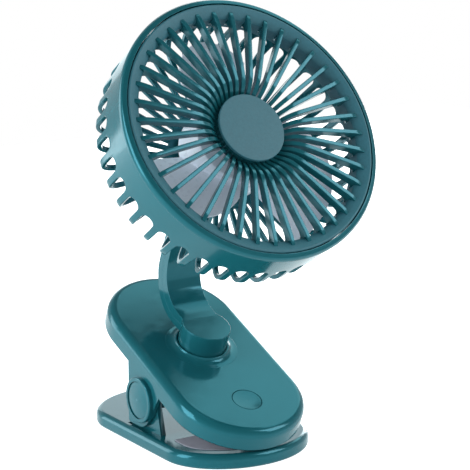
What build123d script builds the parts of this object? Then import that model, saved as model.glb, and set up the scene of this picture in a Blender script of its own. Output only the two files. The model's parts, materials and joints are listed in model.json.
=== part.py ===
"""Clip-on rechargeable fan: sprung clip base, swivelling C-shaped arm, tilting head.

Millimetres, +Z up, the fan faces -Y. The origin is the middle of the clip's underside,
straight below the clip's pivot.
"""
import os
from math import cos, radians, sin, sqrt

from build123d import *

# ---- Driving dimensions ------------------------------------------------------------

# Lower jaw: a flat tray whose two ends are half ellipses
JAW_HALF_WIDTH = 39.6
JAW_END_Y = 34.8            # where the end ellipses are centred
JAW_END_DEPTH = 28.5        # the end ellipses' half axis along Y
JAW_TOP = 7.8
JAW_RIM_Z = 0.1             # the tray's rim stays this far above the resting plane
JAW_EDGE_ROUND = 3.0
JAW_LOWER_ROUND = 0.4
WALL = 2.0                  # wall of every moulded shell of the clip
FOOT_PAD_T = 1.2
FOOT_PAD_INSET = 4.0
BASE_PLATE_T = 1.6
BASE_POST_GRID = (52.0, 76.0)
POST_R = 3.2
MOULD_GAP = 0.1             # between a lid or pad and the wall around it

# Grip pads in the mouth
PAD_INSET = 7.5
PAD_RECESS = 0.7
PAD_PROUD = 0.5
PAD_REAR_Y = -25.3
PAD_CORNER_R = 1.0
UPPER_PAD_REAR_V = -32.0
UPPER_PAD_T = 1.0

# Clip pivot
PIVOT_Z = 23.7
PIN_R = 2.5
RUNNING_GAP = 0.06

# Upper housing: a slab with round ends, tilted down to the front
TILT = 23.2
DECK_Z = 48.0               # height of the top face straight above the pivot
HOUSING_HALF_WIDTH = 36.25
HOUSING_FRONT_V = -38.0     # centres of the round ends, along the deck
HOUSING_REAR_V = 26.6
HOUSING_T = 11.6
HOUSING_EDGE_ROUND = 4.5
HOUSING_LOWER_ROUND = 0.8
COVER_T = 1.6
COVER_W = -HOUSING_T + 0.3  # the cover's underside
COVER_POST_GRID = (55.0, 62.0)
COVER_POST_V = 3.0

# Cheeks and hinge bosses
CHEEK_REAR_Y = 12.9
CHEEK_FOOT_Z = 8.8
BOSS_R = 12.0
BOSS_PROUD = 2.5
CAP_POCKET = 1.5
CAP_R = 9.45
CAP_GROOVE = 0.45
CAP_RIM_T = 1.0
CAP_DOME = 0.8
BOSS_EDGE_ROUND = 0.8

# Ears of the lower jaw, just inside the cheeks
EAR_T = 3.0
EAR_GAP = 0.35
EAR_R = 10.8
EAR_FRONT_Y = -15.7
EAR_REAR_Y = 12.0
CHEEK_SLOT_Y = (-6.5, 13.6)  # the cheeks' feet dip through the jaw here when it opens
CHEEK_SLOT_R = 0.8

# Clamp springs
SPRING_COIL_R = 5.5
SPRING_WIRE_R = 0.9
SPRING_TURNS = 3.345        # from the leg under the cover to the leg on the jaw
SPRING_PITCH = 2.2
SPRING_INNER_X = 19.0
SPRING_TURN_START = 34.3    # rise of the leg that presses on the cover
SPRING_LEG = 24.0

# Power button
BUTTON_V = -48.1
BUTTON_R = 7.8
BUTTON_GROOVE = 0.2
BUTTON_TRAVEL = 0.8
BUTTON_DISH = 0.35
DISH_R = 7.5
BUTTON_FLANGE_R = 8.8
BUTTON_FLANGE_W = (-2.95, -2.15)
BUTTON_STEM_R = 2.0
BUTTON_STEM_W = -5.0

# Electronics
BOARD_T = 1.2
BOARD_W = -7.7              # the boards' upper faces
BATTERY_SIZE = (44.0, 40.0, 6.2)
BATTERY_V = 31.0
MAIN_BOARD_SIZE = (36.0, 27.0)
MAIN_BOARD_V = -49.0
CHARGE_BOARD_SIZE = (22.0, 6.5)
CHARGE_BOARD_V = 55.2
BOARD_CORNER_R = 1.5
BOARD_FOOT_R = 1.5
PORT_SIZE = (8.94, 3.2, 7.6)  # width, height, length
PORT_RECESS = 0.6           # the socket's mouth stays this far inside the housing
PORT_SHEET_T = 0.35
PORT_TONGUE = (6.2, 0.8)
PORT_FLOOR_T = 1.0
SWITCH_SIZE = (6.0, 6.0)
SWITCH_T = 1.4
SWITCH_PLUNGER_R = 1.6

# Knob and arm
SWIVEL_V = -1.2
KNOB_R = 12.9
KNOB_TOP = 13.5
COLLAR_TOP = 2.0
COLLAR_R = 16.6
COLLAR_BORE_R = 13.3
COLLAR_WAIST = (14.6, 0.7)  # the hollow flank passes through this radius and height
STUB_R = 6.0
SWIVEL_BOSS_R = 9.5
SWIVEL_BOSS_T = 2.0
KNOB_FLOOR = 0.2
KNOB_EDGE_ROUND = 0.5
STUB_W = -4.1               # the stub ends just below its bearing
WASHER_T = 1.0
SWIVEL_SCREW_DEPTH = 8.0
SWIVEL_HEAD_R = 2.4
SWIVEL_HEAD_T = 1.6
ARM_HALF_WIDTH = 10.4
KNOB_NECK_ROUND = 3.5       # the hollow corners where the arm leaves the knob
KNOB_NECK_REACH = 17.0
KNOB_NECK_W = 9.9           # the neck's inner half starts here
KNOB_NECK_FOOT_W = (6.0, 9.0)  # the neck's outer half lies between these heights
# side view of the arm, as points (Y, Z) from the knob to the eye
ARM_OUTER = ((4.0, 55.7), (13.4, 59.9), (18.9, 64.3), (21.9, 71.0), (24.0, 80.7),
             (20.8, 93.0), (11.2, 115.5), (-0.6, 133.3), (-4.2, 139.0))
ARM_PARTING = ((2.0, 59.3), (11.6, 63.0), (16.0, 66.7), (18.5, 73.0), (20.5, 81.2),
               (17.4, 92.6), (8.2, 113.9), (-3.2, 131.3), (-7.2, 138.0))
ARM_INNER = ((-7.2, 59.6), (0.2, 62.8), (8.6, 67.0), (13.2, 71.2), (15.0, 76.6),
             (16.3, 82.3), (13.2, 93.9), (4.5, 112.0), (-6.6, 129.0), (-11.0, 136.0))
EYE_ROOT = (-4.1, 132.5)    # the eye's neck starts round this point, as thick as the arm
EYE_ROOT_R = 3.4

# Head
HEAD_CENTRE = (0.0, -47.7, 169.3)
HEAD_ELEVATION = 33.7       # how far the fan looks up
RIM_R = 71.0
BAND_REAR_R = 69.7
SHELL_T = 2.2
HEAD_DEPTH = 39.2           # from the rim's widest plane to the rear face
CORNER_R = 10.5
RIM_EDGE = ((70.1, 1.9), (71.0, 0.6), (71.0, -1.5), (70.3, -1.8))  # the widest edge, front to back
SEAT_R = 67.9               # the grille's outer wall sits inside the shell at this radius
SEAT_W = -6.1
SEAT_LEDGE = 1.4            # the ledge behind the grille's outer wall
FRONT_W = 2.6
RIB_COUNT = 40
SLOT_WIDTH = 7.5
SLOT_INNER_WIDTH = 2.3
SLOT_FRONT_W = -17.6
SLOT_START = 2.0            # the first slot's angle
SLOT_TURN_R = 64.0          # the slots turn from the side wall to the rear face here
REAR_PLATE_R = 31.5

# Front grille
SPOKE_COUNT = 40
SPOKE_WIDTH = 1.6
# side views of one spoke and of the ring that carries the spokes, as points (radius, height)
SPOKE_ROOT = ((17.0, -7.6), (17.0, -3.4), (18.8, -3.4))
SPOKE_BEND = ((22.0, 0.2), (26.0, 2.6))
SPOKE_END = ((60.8, 2.6), (63.6, 2.1), (65.8, 0.9))
SPOKE_BACK = ((62.0, -1.3), (61.2, -7.0), (60.9, -7.0), (60.0, -1.8), (27.0, -1.8), (19.5, -7.6))
RING_FACE = ((66.5, 2.6), (61.9, 0.7), (60.6, -0.8), (60.4, -8.0))
RING_BACK = ((62.0, -8.0), (62.2, -1.4), (66.3, 0.4), (66.3, -6.1))
HUB_BASE_R = 17.6
HUB_BASE_W = (-8.0, -1.2)
HUB_CAP_R = 18.3
HUB_CAP_W = (-3.0, 0.8)
HUB_CAP_ROUND = 0.35

# Tilt hinge at the back of the head
TILT_AXIS_BACK = 9.0        # behind the rear face
EYE_R = 7.0
EYE_HALF_WIDTH = 5.0
LUG_R = 7.5
LUG_T = 4.0
LUG_GAP = 0.6
LUG_FOOT = 17.0             # how tall a lug is where it meets the rear face
TILT_SCREW_R = 2.0
TILT_HEAD_R = 3.6
TILT_HEAD_T = 2.4
TILT_SOCKET_R = 2.0         # the hexagonal socket in the screw's head
TILT_SOCKET_DEPTH = 1.4
TILT_SCREW_PROUD = 0.6      # the screw's end stands this far out of the nut
LUG_CLEARANCE_R = 9.6       # the arm is cut back to this radius where the lugs turn

# Impeller and motor
BLADE_COUNT = 3
BLADE_START = 92.6
BLADE_TIP_R = 59.0
BLADE_W = (-31.5, -12.0)    # rear and front edge
BLADE_T = 1.6
BLADE_CAMBER = 2.6
BLADE_STATIONS = (18.0, 39.0, 60.0)
BLADE_REAR_SLOPE = -0.7     # the rear edge runs straight out from the axis
BLADE_FRONT_ROOT = 9.8      # the front edge's line passes this far beside the axis
BLADE_FRONT_SLOPE = 0.432
BLADE_TIP_ROUND = 28.0      # the front edge turns into the tip in this round
ROTOR_R = 24.0
ROTOR_W = (-33.5, -12.0)
ROTOR_WALL = 1.8
ROTOR_ROUND = 3.0
ROTOR_BOSS_W = -16.5
ROTOR_FLOOR_T = 2.2
SHAFT_R = 1.5
SHAFT_GAP = 0.05
SHAFT_FRONT_W = -13.0
SLEEVE_R = 3.0
SLEEVE_FRONT_W = -17.0
MOTOR_BOSS_R = 9.0
MOTOR_SCREW_R = 5.8
STATOR_R = 19.9
STATOR_W = (-33.5, -22.0)
STATOR_HUB_R = 8.4
STATOR_TEETH = 6
TOOTH_WIDTH = 3.2
SHOE_SIZE = (2.4, 14.0)
WINDING_START = 9.4
WINDING_LENGTH = 6.4
WINDING_T = (2.0, 1.5)      # beside a tooth, and in front of and behind it
WINDING_ROUND = 1.2
MAGNET_T = 1.4
MAGNET_W = (-32.0, -18.0)

# Screws
SCREW_R = 1.0
SCREW_HEAD_R = 1.9
SCREW_HEAD_T = 1.0
SCREW_GAP = 0.02

# ---- Derived planes and places -----------------------------------------------------

X_AXIS = Vector(1, 0, 0)
DECK = Plane(origin=(0, 0, DECK_Z), x_dir=X_AXIS,
             z_dir=(0, -sin(radians(TILT)), cos(radians(TILT))))
DECK_AXIS = Axis(DECK.origin, DECK.z_dir)
SWIVEL = Plane(origin=DECK.from_local_coords((0, SWIVEL_V, 0)), x_dir=X_AXIS, z_dir=DECK.z_dir)
SWIVEL_AXIS = Axis(SWIVEL.origin, SWIVEL.z_dir)
SWIVEL_SECTION = Plane(origin=SWIVEL.origin, x_dir=X_AXIS, z_dir=-SWIVEL.y_dir)
BUTTON = Plane(origin=DECK.from_local_coords((0, BUTTON_V, 0)), x_dir=X_AXIS, z_dir=DECK.z_dir)
BUTTON_AXIS = Axis(BUTTON.origin, BUTTON.z_dir)
BUTTON_SECTION = Plane(origin=BUTTON.origin, x_dir=X_AXIS, z_dir=-BUTTON.y_dir)
HEAD = Plane(origin=HEAD_CENTRE, x_dir=X_AXIS,
             z_dir=(0, -cos(radians(HEAD_ELEVATION)), sin(radians(HEAD_ELEVATION))))
HEAD_AXIS = Axis(HEAD.origin, HEAD.z_dir)
HEAD_SECTION = Plane(origin=HEAD.origin, x_dir=X_AXIS, z_dir=-HEAD.y_dir)  # local x out, y forward
REAR_W = -HEAD_DEPTH
TILT_CENTRE = HEAD.origin + HEAD.z_dir * (REAR_W - TILT_AXIS_BACK)
TILT_YZ = (TILT_CENTRE.Y, TILT_CENTRE.Z)
LUG_SECTION = Plane(origin=TILT_CENTRE, x_dir=HEAD.z_dir, z_dir=X_AXIS)    # local x towards the head
LUG_INNER_X = EYE_HALF_WIDTH + LUG_GAP
LUG_OUTER_X = LUG_INNER_X + LUG_T
CHEEK_INNER_X = HOUSING_HALF_WIDTH - WALL
EAR_OUTER_X = CHEEK_INNER_X - EAR_GAP
BOSS_OUTER_X = HOUSING_HALF_WIDTH + BOSS_PROUD
PAD_SEAT_Z = JAW_TOP - PAD_RECESS
BASE_PLATE_TOP = FOOT_PAD_T + BASE_PLATE_T
COVER_TOP_W = COVER_W + COVER_T
CHEEK_REAR_TOP = (CHEEK_REAR_Y, 44.0)
CHEEK_FRONT_TOP = (-17.0, 31.0)
PORT_CENTRE = (0, HOUSING_REAR_V + HOUSING_HALF_WIDTH, BOARD_W + PORT_SIZE[1] / 2)
PORT = Plane(origin=DECK.from_local_coords(PORT_CENTRE), x_dir=X_AXIS, z_dir=DECK.y_dir)
COVER_SCREWS = Plane(origin=DECK.from_local_coords((0, COVER_POST_V, COVER_W)), x_dir=X_AXIS, z_dir=-DECK.z_dir)
REAR_INNER_W = REAR_W + SHELL_T


def save(part, label):
    """Label a finished piece and write it as a STEP file."""
    part.label = label
    export_step(part, f"parts/{label}.step")


def dome_height(radius, rise, at):
    """Height of a round dome of that radius and rise, at a distance from its middle."""
    ball = (radius**2 + rise**2) / (2 * rise)
    return sqrt(ball**2 - at**2) - (ball - rise)


def draw_jaw_outline(inset=0.0):
    """Draw the lower jaw's plan in the open sketch, that far inside its edge."""
    half_width = JAW_HALF_WIDTH - inset
    end_depth = JAW_END_DEPTH - inset
    with BuildLine() as outline:
        EllipticalCenterArc((0, JAW_END_Y), half_width, end_depth, start_angle=0, arc_size=180)
        EllipticalCenterArc((0, -JAW_END_Y), half_width, end_depth, start_angle=180, arc_size=180)
        Line((half_width, JAW_END_Y), (half_width, -JAW_END_Y))
        Line((-half_width, JAW_END_Y), (-half_width, -JAW_END_Y))
    make_face(outline.edges())


def draw_housing_outline(inset=0.0):
    """Draw the upper housing's plan in the open sketch, that far inside its edge."""
    with Locations((0, (HOUSING_FRONT_V + HOUSING_REAR_V) / 2)):
        SlotCenterToCenter(HOUSING_REAR_V - HOUSING_FRONT_V, 2 * (HOUSING_HALF_WIDTH - inset), rotation=90)


def keep_front(rear_y):
    """Keep only what lies in front of a straight edge in the open sketch."""
    with Locations((0, rear_y)):
        Rectangle(200, 100, align=(Align.CENTER, Align.MAX), mode=Mode.INTERSECT)


def draw_knob_neck():
    """Draw the knob and the root of the arm from above in the open sketch, with hollow corners between them."""
    Circle(KNOB_R)
    Rectangle(2 * ARM_HALF_WIDTH, KNOB_NECK_REACH, align=(Align.CENTER, Align.MIN))
    hollow = vertices().filter_by(lambda corner: 0 < corner.Y < KNOB_R)
    fillet(hollow, KNOB_NECK_ROUND)


def draw_eye(grow=0.0):
    """Draw the side view of the arm's eye and neck in the open sketch, that much larger."""
    with Locations(TILT_YZ):
        Circle(EYE_R + grow)
    with Locations(EYE_ROOT):
        Circle(EYE_ROOT_R + grow)
    make_hull()


os.makedirs("parts", exist_ok=True)

# ---- Lower jaw and what it carries -------------------------------------------------

with BuildPart() as lower_jaw:
    with BuildSketch(Plane.XY.offset(JAW_RIM_Z)):
        draw_jaw_outline()
    extrude(amount=JAW_TOP - JAW_RIM_Z)
    fillet(lower_jaw.faces().sort_by(Axis.Z)[-1].edges(), JAW_EDGE_ROUND)
    fillet(lower_jaw.faces().sort_by(Axis.Z)[0].edges(), JAW_LOWER_ROUND)
    with BuildSketch(Plane.XY.offset(JAW_RIM_Z)):
        draw_jaw_outline(WALL)
    extrude(amount=JAW_TOP - WALL - JAW_RIM_Z, mode=Mode.SUBTRACT)
    # posts that the base plate is screwed to
    with BuildSketch(Plane.XY.offset(BASE_PLATE_TOP)):
        with GridLocations(*BASE_POST_GRID, 2, 2):
            Circle(POST_R)
    extrude(amount=JAW_TOP - WALL - BASE_PLATE_TOP)
    with BuildSketch(Plane.XY.offset(BASE_PLATE_TOP)):
        with GridLocations(*BASE_POST_GRID, 2, 2):
            Circle(SCREW_R + SCREW_GAP)
    extrude(amount=JAW_TOP - WALL - BASE_PLATE_TOP, mode=Mode.SUBTRACT)
    # seat of the grip pad
    with BuildSketch(Plane.XY.offset(PAD_SEAT_Z)):
        draw_jaw_outline(PAD_INSET)
        keep_front(PAD_REAR_Y)
        fillet(vertices().group_by(Axis.Y)[-1], PAD_CORNER_R)
    extrude(amount=2 * PAD_RECESS, mode=Mode.SUBTRACT)
    for side in (-1, 1):
        # slot for the cheek's foot
        with BuildSketch(Plane.XY.offset(JAW_TOP)):
            with Locations((side * (EAR_OUTER_X + CHEEK_INNER_X + WALL + EAR_GAP) / 2, sum(CHEEK_SLOT_Y) / 2)):
                RectangleRounded(WALL + 2 * EAR_GAP, CHEEK_SLOT_Y[1] - CHEEK_SLOT_Y[0], CHEEK_SLOT_R)
        extrude(amount=-2 * WALL, mode=Mode.SUBTRACT)
        # ear with its inner boss
        with BuildSketch(Plane.YZ.offset(side * EAR_OUTER_X)):
            with Locations((0, PIVOT_Z)):
                Circle(EAR_R)
            with Locations(((EAR_FRONT_Y + EAR_REAR_Y) / 2, JAW_TOP - WALL / 2)):
                Rectangle(EAR_REAR_Y - EAR_FRONT_Y, WALL / 2)
            make_hull()
        extrude(amount=-side * EAR_T)
        with BuildSketch(Plane.YZ.offset(side * (EAR_OUTER_X - EAR_T))):
            with Locations((0, PIVOT_Z)):
                Circle(2 * PIN_R)
        extrude(amount=-side * EAR_T / 2)
    with BuildSketch(Plane.YZ):
        with Locations((0, PIVOT_Z)):
            Circle(PIN_R + RUNNING_GAP)
    extrude(amount=HOUSING_HALF_WIDTH, both=True, mode=Mode.SUBTRACT)
save(lower_jaw.part, "lower_jaw")

with BuildPart() as base_plate:
    with BuildSketch(Plane.XY.offset(FOOT_PAD_T)):
        draw_jaw_outline(WALL + MOULD_GAP)
    extrude(amount=BASE_PLATE_T)
    with Locations(Plane(origin=(0, 0, FOOT_PAD_T), z_dir=(0, 0, -1))):
        with GridLocations(*BASE_POST_GRID, 2, 2):
            CounterBoreHole(SCREW_R + MOULD_GAP, SCREW_HEAD_R + MOULD_GAP, SCREW_HEAD_T, BASE_PLATE_T)
save(base_plate.part, "base_plate")

with BuildPart() as base_screws:
    with BuildSketch(Plane.XY.offset(FOOT_PAD_T)):
        with GridLocations(*BASE_POST_GRID, 2, 2):
            Circle(SCREW_HEAD_R)
    extrude(amount=SCREW_HEAD_T)
    with BuildSketch(Plane.XY.offset(FOOT_PAD_T)):
        with GridLocations(*BASE_POST_GRID, 2, 2):
            Circle(SCREW_R)
    extrude(amount=JAW_TOP - WALL - FOOT_PAD_T - MOULD_GAP)
save(base_screws.part, "base_screws")

with BuildPart() as underside_pad:
    with BuildSketch():
        draw_jaw_outline(FOOT_PAD_INSET)
    extrude(amount=FOOT_PAD_T)
save(underside_pad.part, "underside_pad")

with BuildPart() as lower_grip_pad:
    with BuildSketch(Plane.XY.offset(PAD_SEAT_Z)):
        draw_jaw_outline(PAD_INSET + MOULD_GAP)
        keep_front(PAD_REAR_Y - MOULD_GAP)
        fillet(vertices().group_by(Axis.Y)[-1], PAD_CORNER_R)
    extrude(amount=PAD_RECESS + PAD_PROUD)
    fillet(lower_grip_pad.faces().sort_by(Axis.Z)[-1].edges(), PAD_PROUD / 2)
save(lower_grip_pad.part, "lower_grip_pad")

# ---- Upper housing and what it carries ---------------------------------------------

with BuildPart() as housing_cavity:
    with BuildSketch(DECK.offset(-HOUSING_T)):
        draw_housing_outline(WALL)
    extrude(amount=HOUSING_T - WALL)
    fillet(housing_cavity.faces().sort_by(DECK_AXIS)[-1].edges(), HOUSING_EDGE_ROUND - WALL)

with BuildPart() as upper_housing:
    with BuildSketch(DECK.offset(-HOUSING_T)):
        draw_housing_outline()
    extrude(amount=HOUSING_T)
    fillet(upper_housing.faces().sort_by(DECK_AXIS)[-1].edges(), HOUSING_EDGE_ROUND)
    fillet(upper_housing.faces().sort_by(DECK_AXIS)[0].edges(), HOUSING_LOWER_ROUND)
    add(housing_cavity.part, mode=Mode.SUBTRACT)
    # posts that the cover is screwed to
    with BuildSketch(DECK.offset(COVER_TOP_W)):
        with Locations((0, COVER_POST_V)):
            with GridLocations(*COVER_POST_GRID, 2, 2):
                Circle(POST_R)
    extrude(amount=-WALL - COVER_TOP_W)
    with BuildSketch(DECK.offset(COVER_TOP_W)):
        with Locations((0, COVER_POST_V)):
            with GridLocations(*COVER_POST_GRID, 2, 2):
                Circle(SCREW_R + SCREW_GAP)
    extrude(amount=-WALL - COVER_TOP_W, mode=Mode.SUBTRACT)
    # raised collar with a hollow flank, and the swivel's bearing under it
    with BuildSketch(SWIVEL_SECTION):
        with BuildLine():
            Polyline((COLLAR_BORE_R, -WALL / 2), (COLLAR_BORE_R, COLLAR_TOP), (COLLAR_BORE_R + 0.7, COLLAR_TOP))
            ThreePointArc((COLLAR_BORE_R + 0.7, COLLAR_TOP), COLLAR_WAIST, (COLLAR_R, 0))
            Polyline((COLLAR_R, 0), (COLLAR_R, -WALL / 2), (COLLAR_BORE_R, -WALL / 2))
        make_face()
    revolve(axis=SWIVEL_AXIS)
    with BuildSketch(SWIVEL.offset(-WALL)):
        Circle(SWIVEL_BOSS_R)
    extrude(amount=-SWIVEL_BOSS_T)
    with BuildSketch(SWIVEL):
        Circle(STUB_R + RUNNING_GAP)
    extrude(amount=-WALL - SWIVEL_BOSS_T, mode=Mode.SUBTRACT)
    with BuildSketch(BUTTON):
        Circle(BUTTON_R + BUTTON_GROOVE)
    extrude(amount=-WALL, mode=Mode.SUBTRACT)
    # charging slot in the rear wall
    with BuildSketch(PORT.offset(-WALL - PORT_RECESS)):
        SlotOverall(PORT_SIZE[0] + 2 * MOULD_GAP, PORT_SIZE[1] + 2 * MOULD_GAP)
    extrude(amount=3 * WALL, mode=Mode.SUBTRACT)
    # cheeks down both sides, with the hinge bosses
    for side in (-1, 1):
        with BuildSketch(Plane.YZ.offset(side * CHEEK_INNER_X)):
            with BuildLine():
                Polyline(CHEEK_REAR_TOP, (CHEEK_REAR_Y, CHEEK_FOOT_Z + 1), (CHEEK_REAR_Y - 1, CHEEK_FOOT_Z),
                         (4, CHEEK_FOOT_Z))
                ThreePointArc((4, CHEEK_FOOT_Z), (-4, 10.8), (-8.2, 15.9))
                Polyline((-8.2, 15.9), (-17, 28.1), CHEEK_FRONT_TOP, CHEEK_REAR_TOP)
            make_face()
        extrude(amount=side * WALL)
        with BuildSketch(Plane.YZ.offset(side * CHEEK_INNER_X)):
            with Locations((0, PIVOT_Z)):
                Circle(BOSS_R)
        extrude(amount=side * (WALL + BOSS_PROUD))
        with BuildSketch(Plane.YZ.offset(side * BOSS_OUTER_X)):
            with Locations((0, PIVOT_Z)):
                Circle(CAP_R + CAP_GROOVE)
        extrude(amount=-side * CAP_POCKET, mode=Mode.SUBTRACT)
    boss_rims = upper_housing.edges().filter_by(GeomType.CIRCLE).filter_by(
        lambda edge: abs(edge.radius - BOSS_R) < 1e-3 and abs(abs(edge.arc_center.X) - BOSS_OUTER_X) < 1e-3)
    fillet(boss_rims, BOSS_EDGE_ROUND)
    with BuildSketch(Plane.YZ):
        with Locations((0, PIVOT_Z)):
            Circle(PIN_R + SCREW_GAP)
    extrude(amount=BOSS_OUTER_X, both=True, mode=Mode.SUBTRACT)
save(upper_housing.part, "upper_housing")

with BuildPart() as pivot_pin:
    with BuildSketch(Plane.YZ):
        with Locations((0, PIVOT_Z)):
            Circle(PIN_R)
    extrude(amount=BOSS_OUTER_X - CAP_POCKET, both=True)
    chamfer(pivot_pin.edges(), 0.3)
save(pivot_pin.part, "pivot_pin")

for side, label in ((-1, "hinge_cap_left"), (1, "hinge_cap_right")):
    seat_x = side * (BOSS_OUTER_X - CAP_POCKET)
    with BuildPart() as hinge_cap:
        with BuildSketch(Plane(origin=(seat_x, 0, PIVOT_Z), x_dir=(0, 1, 0), z_dir=(0, 0, 1))):
            with BuildLine():
                Polyline((0, 0), (CAP_R, 0), (CAP_R, -side * CAP_RIM_T))
                ThreePointArc((CAP_R, -side * CAP_RIM_T),
                              (CAP_R / 2, -side * (CAP_RIM_T + dome_height(CAP_R, CAP_DOME, CAP_R / 2))),
                              (0, -side * (CAP_RIM_T + CAP_DOME)))
                Line((0, -side * (CAP_RIM_T + CAP_DOME)), (0, 0))
            make_face()
        revolve(axis=Axis((0, 0, PIVOT_Z), (1, 0, 0)))
    save(hinge_cap.part, label)

with BuildPart() as housing_cover:
    with BuildSketch(DECK.offset(COVER_W)):
        draw_housing_outline(WALL + MOULD_GAP)
    extrude(amount=COVER_T)
    # feet under the two boards
    for size, centre_v in ((MAIN_BOARD_SIZE, MAIN_BOARD_V), (CHARGE_BOARD_SIZE, CHARGE_BOARD_V)):
        with BuildSketch(DECK.offset(COVER_TOP_W)):
            with Locations((0, centre_v)):
                with GridLocations(size[0] - 5, size[1] - 3, 2, 2):
                    Circle(BOARD_FOOT_R)
        extrude(amount=BOARD_W - BOARD_T - COVER_TOP_W)
    with Locations(COVER_SCREWS):
        with GridLocations(*COVER_POST_GRID, 2, 2):
            CounterBoreHole(SCREW_R + MOULD_GAP, SCREW_HEAD_R + MOULD_GAP, SCREW_HEAD_T, COVER_T)
save(housing_cover.part, "housing_cover")

with BuildPart() as cover_screws:
    with BuildSketch(DECK.offset(COVER_W)):
        with Locations((0, COVER_POST_V)):
            with GridLocations(*COVER_POST_GRID, 2, 2):
                Circle(SCREW_HEAD_R)
    extrude(amount=SCREW_HEAD_T)
    with BuildSketch(DECK.offset(COVER_W)):
        with Locations((0, COVER_POST_V)):
            with GridLocations(*COVER_POST_GRID, 2, 2):
                Circle(SCREW_R)
    extrude(amount=-WALL - COVER_W - MOULD_GAP)
save(cover_screws.part, "cover_screws")

with BuildPart() as upper_grip_pad:
    with BuildSketch(DECK.offset(COVER_W)):
        draw_housing_outline(PAD_INSET - 1)
        keep_front(UPPER_PAD_REAR_V)
        fillet(vertices().group_by(Axis.Y)[-1], PAD_CORNER_R)
    extrude(amount=-UPPER_PAD_T)
save(upper_grip_pad.part, "upper_grip_pad")

with BuildPart() as battery_pack:
    with BuildSketch(DECK.offset(COVER_TOP_W)):
        with Locations((0, BATTERY_V)):
            RectangleRounded(*BATTERY_SIZE[:2], 2.0)
    extrude(amount=BATTERY_SIZE[2])
    fillet(battery_pack.faces().sort_by(DECK_AXIS)[-1].edges(), 1.2)
save(battery_pack.part, "battery_pack")

for size, centre_v, label in ((MAIN_BOARD_SIZE, MAIN_BOARD_V, "circuit_board"),
                              (CHARGE_BOARD_SIZE, CHARGE_BOARD_V, "charging_board")):
    with BuildPart() as board:
        with BuildSketch(DECK.offset(BOARD_W)):
            with Locations((0, centre_v)):
                RectangleRounded(*size, BOARD_CORNER_R)
        extrude(amount=-BOARD_T)
    save(board.part, label)

with BuildPart() as button_switch:
    with BuildSketch(BUTTON.offset(BOARD_W)):
        Rectangle(*SWITCH_SIZE)
    extrude(amount=SWITCH_T)
    with BuildSketch(BUTTON.offset(BOARD_W + SWITCH_T)):
        Circle(SWITCH_PLUNGER_R)
    extrude(amount=BUTTON_STEM_W - BUTTON_TRAVEL - MOULD_GAP - BOARD_W - SWITCH_T)
save(button_switch.part, "button_switch")

with BuildPart() as charging_port:
    with BuildSketch(PORT.offset(-PORT_RECESS)):
        SlotOverall(*PORT_SIZE[:2])
    extrude(amount=-PORT_SIZE[2])
    with BuildSketch(PORT.offset(-PORT_RECESS)):
        SlotOverall(PORT_SIZE[0] - 2 * PORT_SHEET_T, PORT_SIZE[1] - 2 * PORT_SHEET_T)
        Rectangle(*PORT_TONGUE, mode=Mode.SUBTRACT)
    extrude(amount=PORT_FLOOR_T - PORT_SIZE[2], mode=Mode.SUBTRACT)
save(charging_port.part, "charging_port")

with BuildPart() as clamp_springs:
    hinge_line = Axis((0, 0, PIVOT_Z), (1, 0, 0))
    coil = Helix(SPRING_PITCH, SPRING_PITCH * SPRING_TURNS, SPRING_COIL_R,
                 center=(SPRING_INNER_X, 0, PIVOT_Z), direction=(1, 0, 0), mode=Mode.PRIVATE)
    coil = coil.rotate(hinge_line, SPRING_TURN_START)
    with BuildSketch(Plane(origin=coil @ 0, z_dir=coil % 0)):
        Circle(SPRING_WIRE_R)
    sweep(path=coil, is_frenet=True)
    for end, outwards in ((coil @ 0, -(coil % 0)), (coil @ 1, coil % 1)):
        with BuildSketch(Plane(origin=end, z_dir=outwards)):
            Circle(SPRING_WIRE_R)
        extrude(amount=SPRING_LEG)
    mirror(about=Plane.YZ)
save(clamp_springs.part, "clamp_springs")

# ---- Power button ------------------------------------------------------------------

with BuildPart() as power_button:
    with BuildSketch(BUTTON_SECTION):
        with BuildLine():
            ThreePointArc((0, -BUTTON_DISH), (DISH_R / 2, -dome_height(DISH_R, BUTTON_DISH, DISH_R / 2)),
                          (DISH_R, 0))
            Polyline((DISH_R, 0), (BUTTON_R, DISH_R - BUTTON_R), (BUTTON_R, BUTTON_FLANGE_W[1]),
                     (BUTTON_FLANGE_R, BUTTON_FLANGE_W[1]), (BUTTON_FLANGE_R, BUTTON_FLANGE_W[0]),
                     (BUTTON_STEM_R, BUTTON_FLANGE_W[0]), (BUTTON_STEM_R, BUTTON_STEM_W),
                     (0, BUTTON_STEM_W), (0, -BUTTON_DISH))
        make_face()
    revolve(axis=BUTTON_AXIS)
save(power_button.part, "power_button")

# ---- Knob and arm ------------------------------------------------------------------

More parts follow.
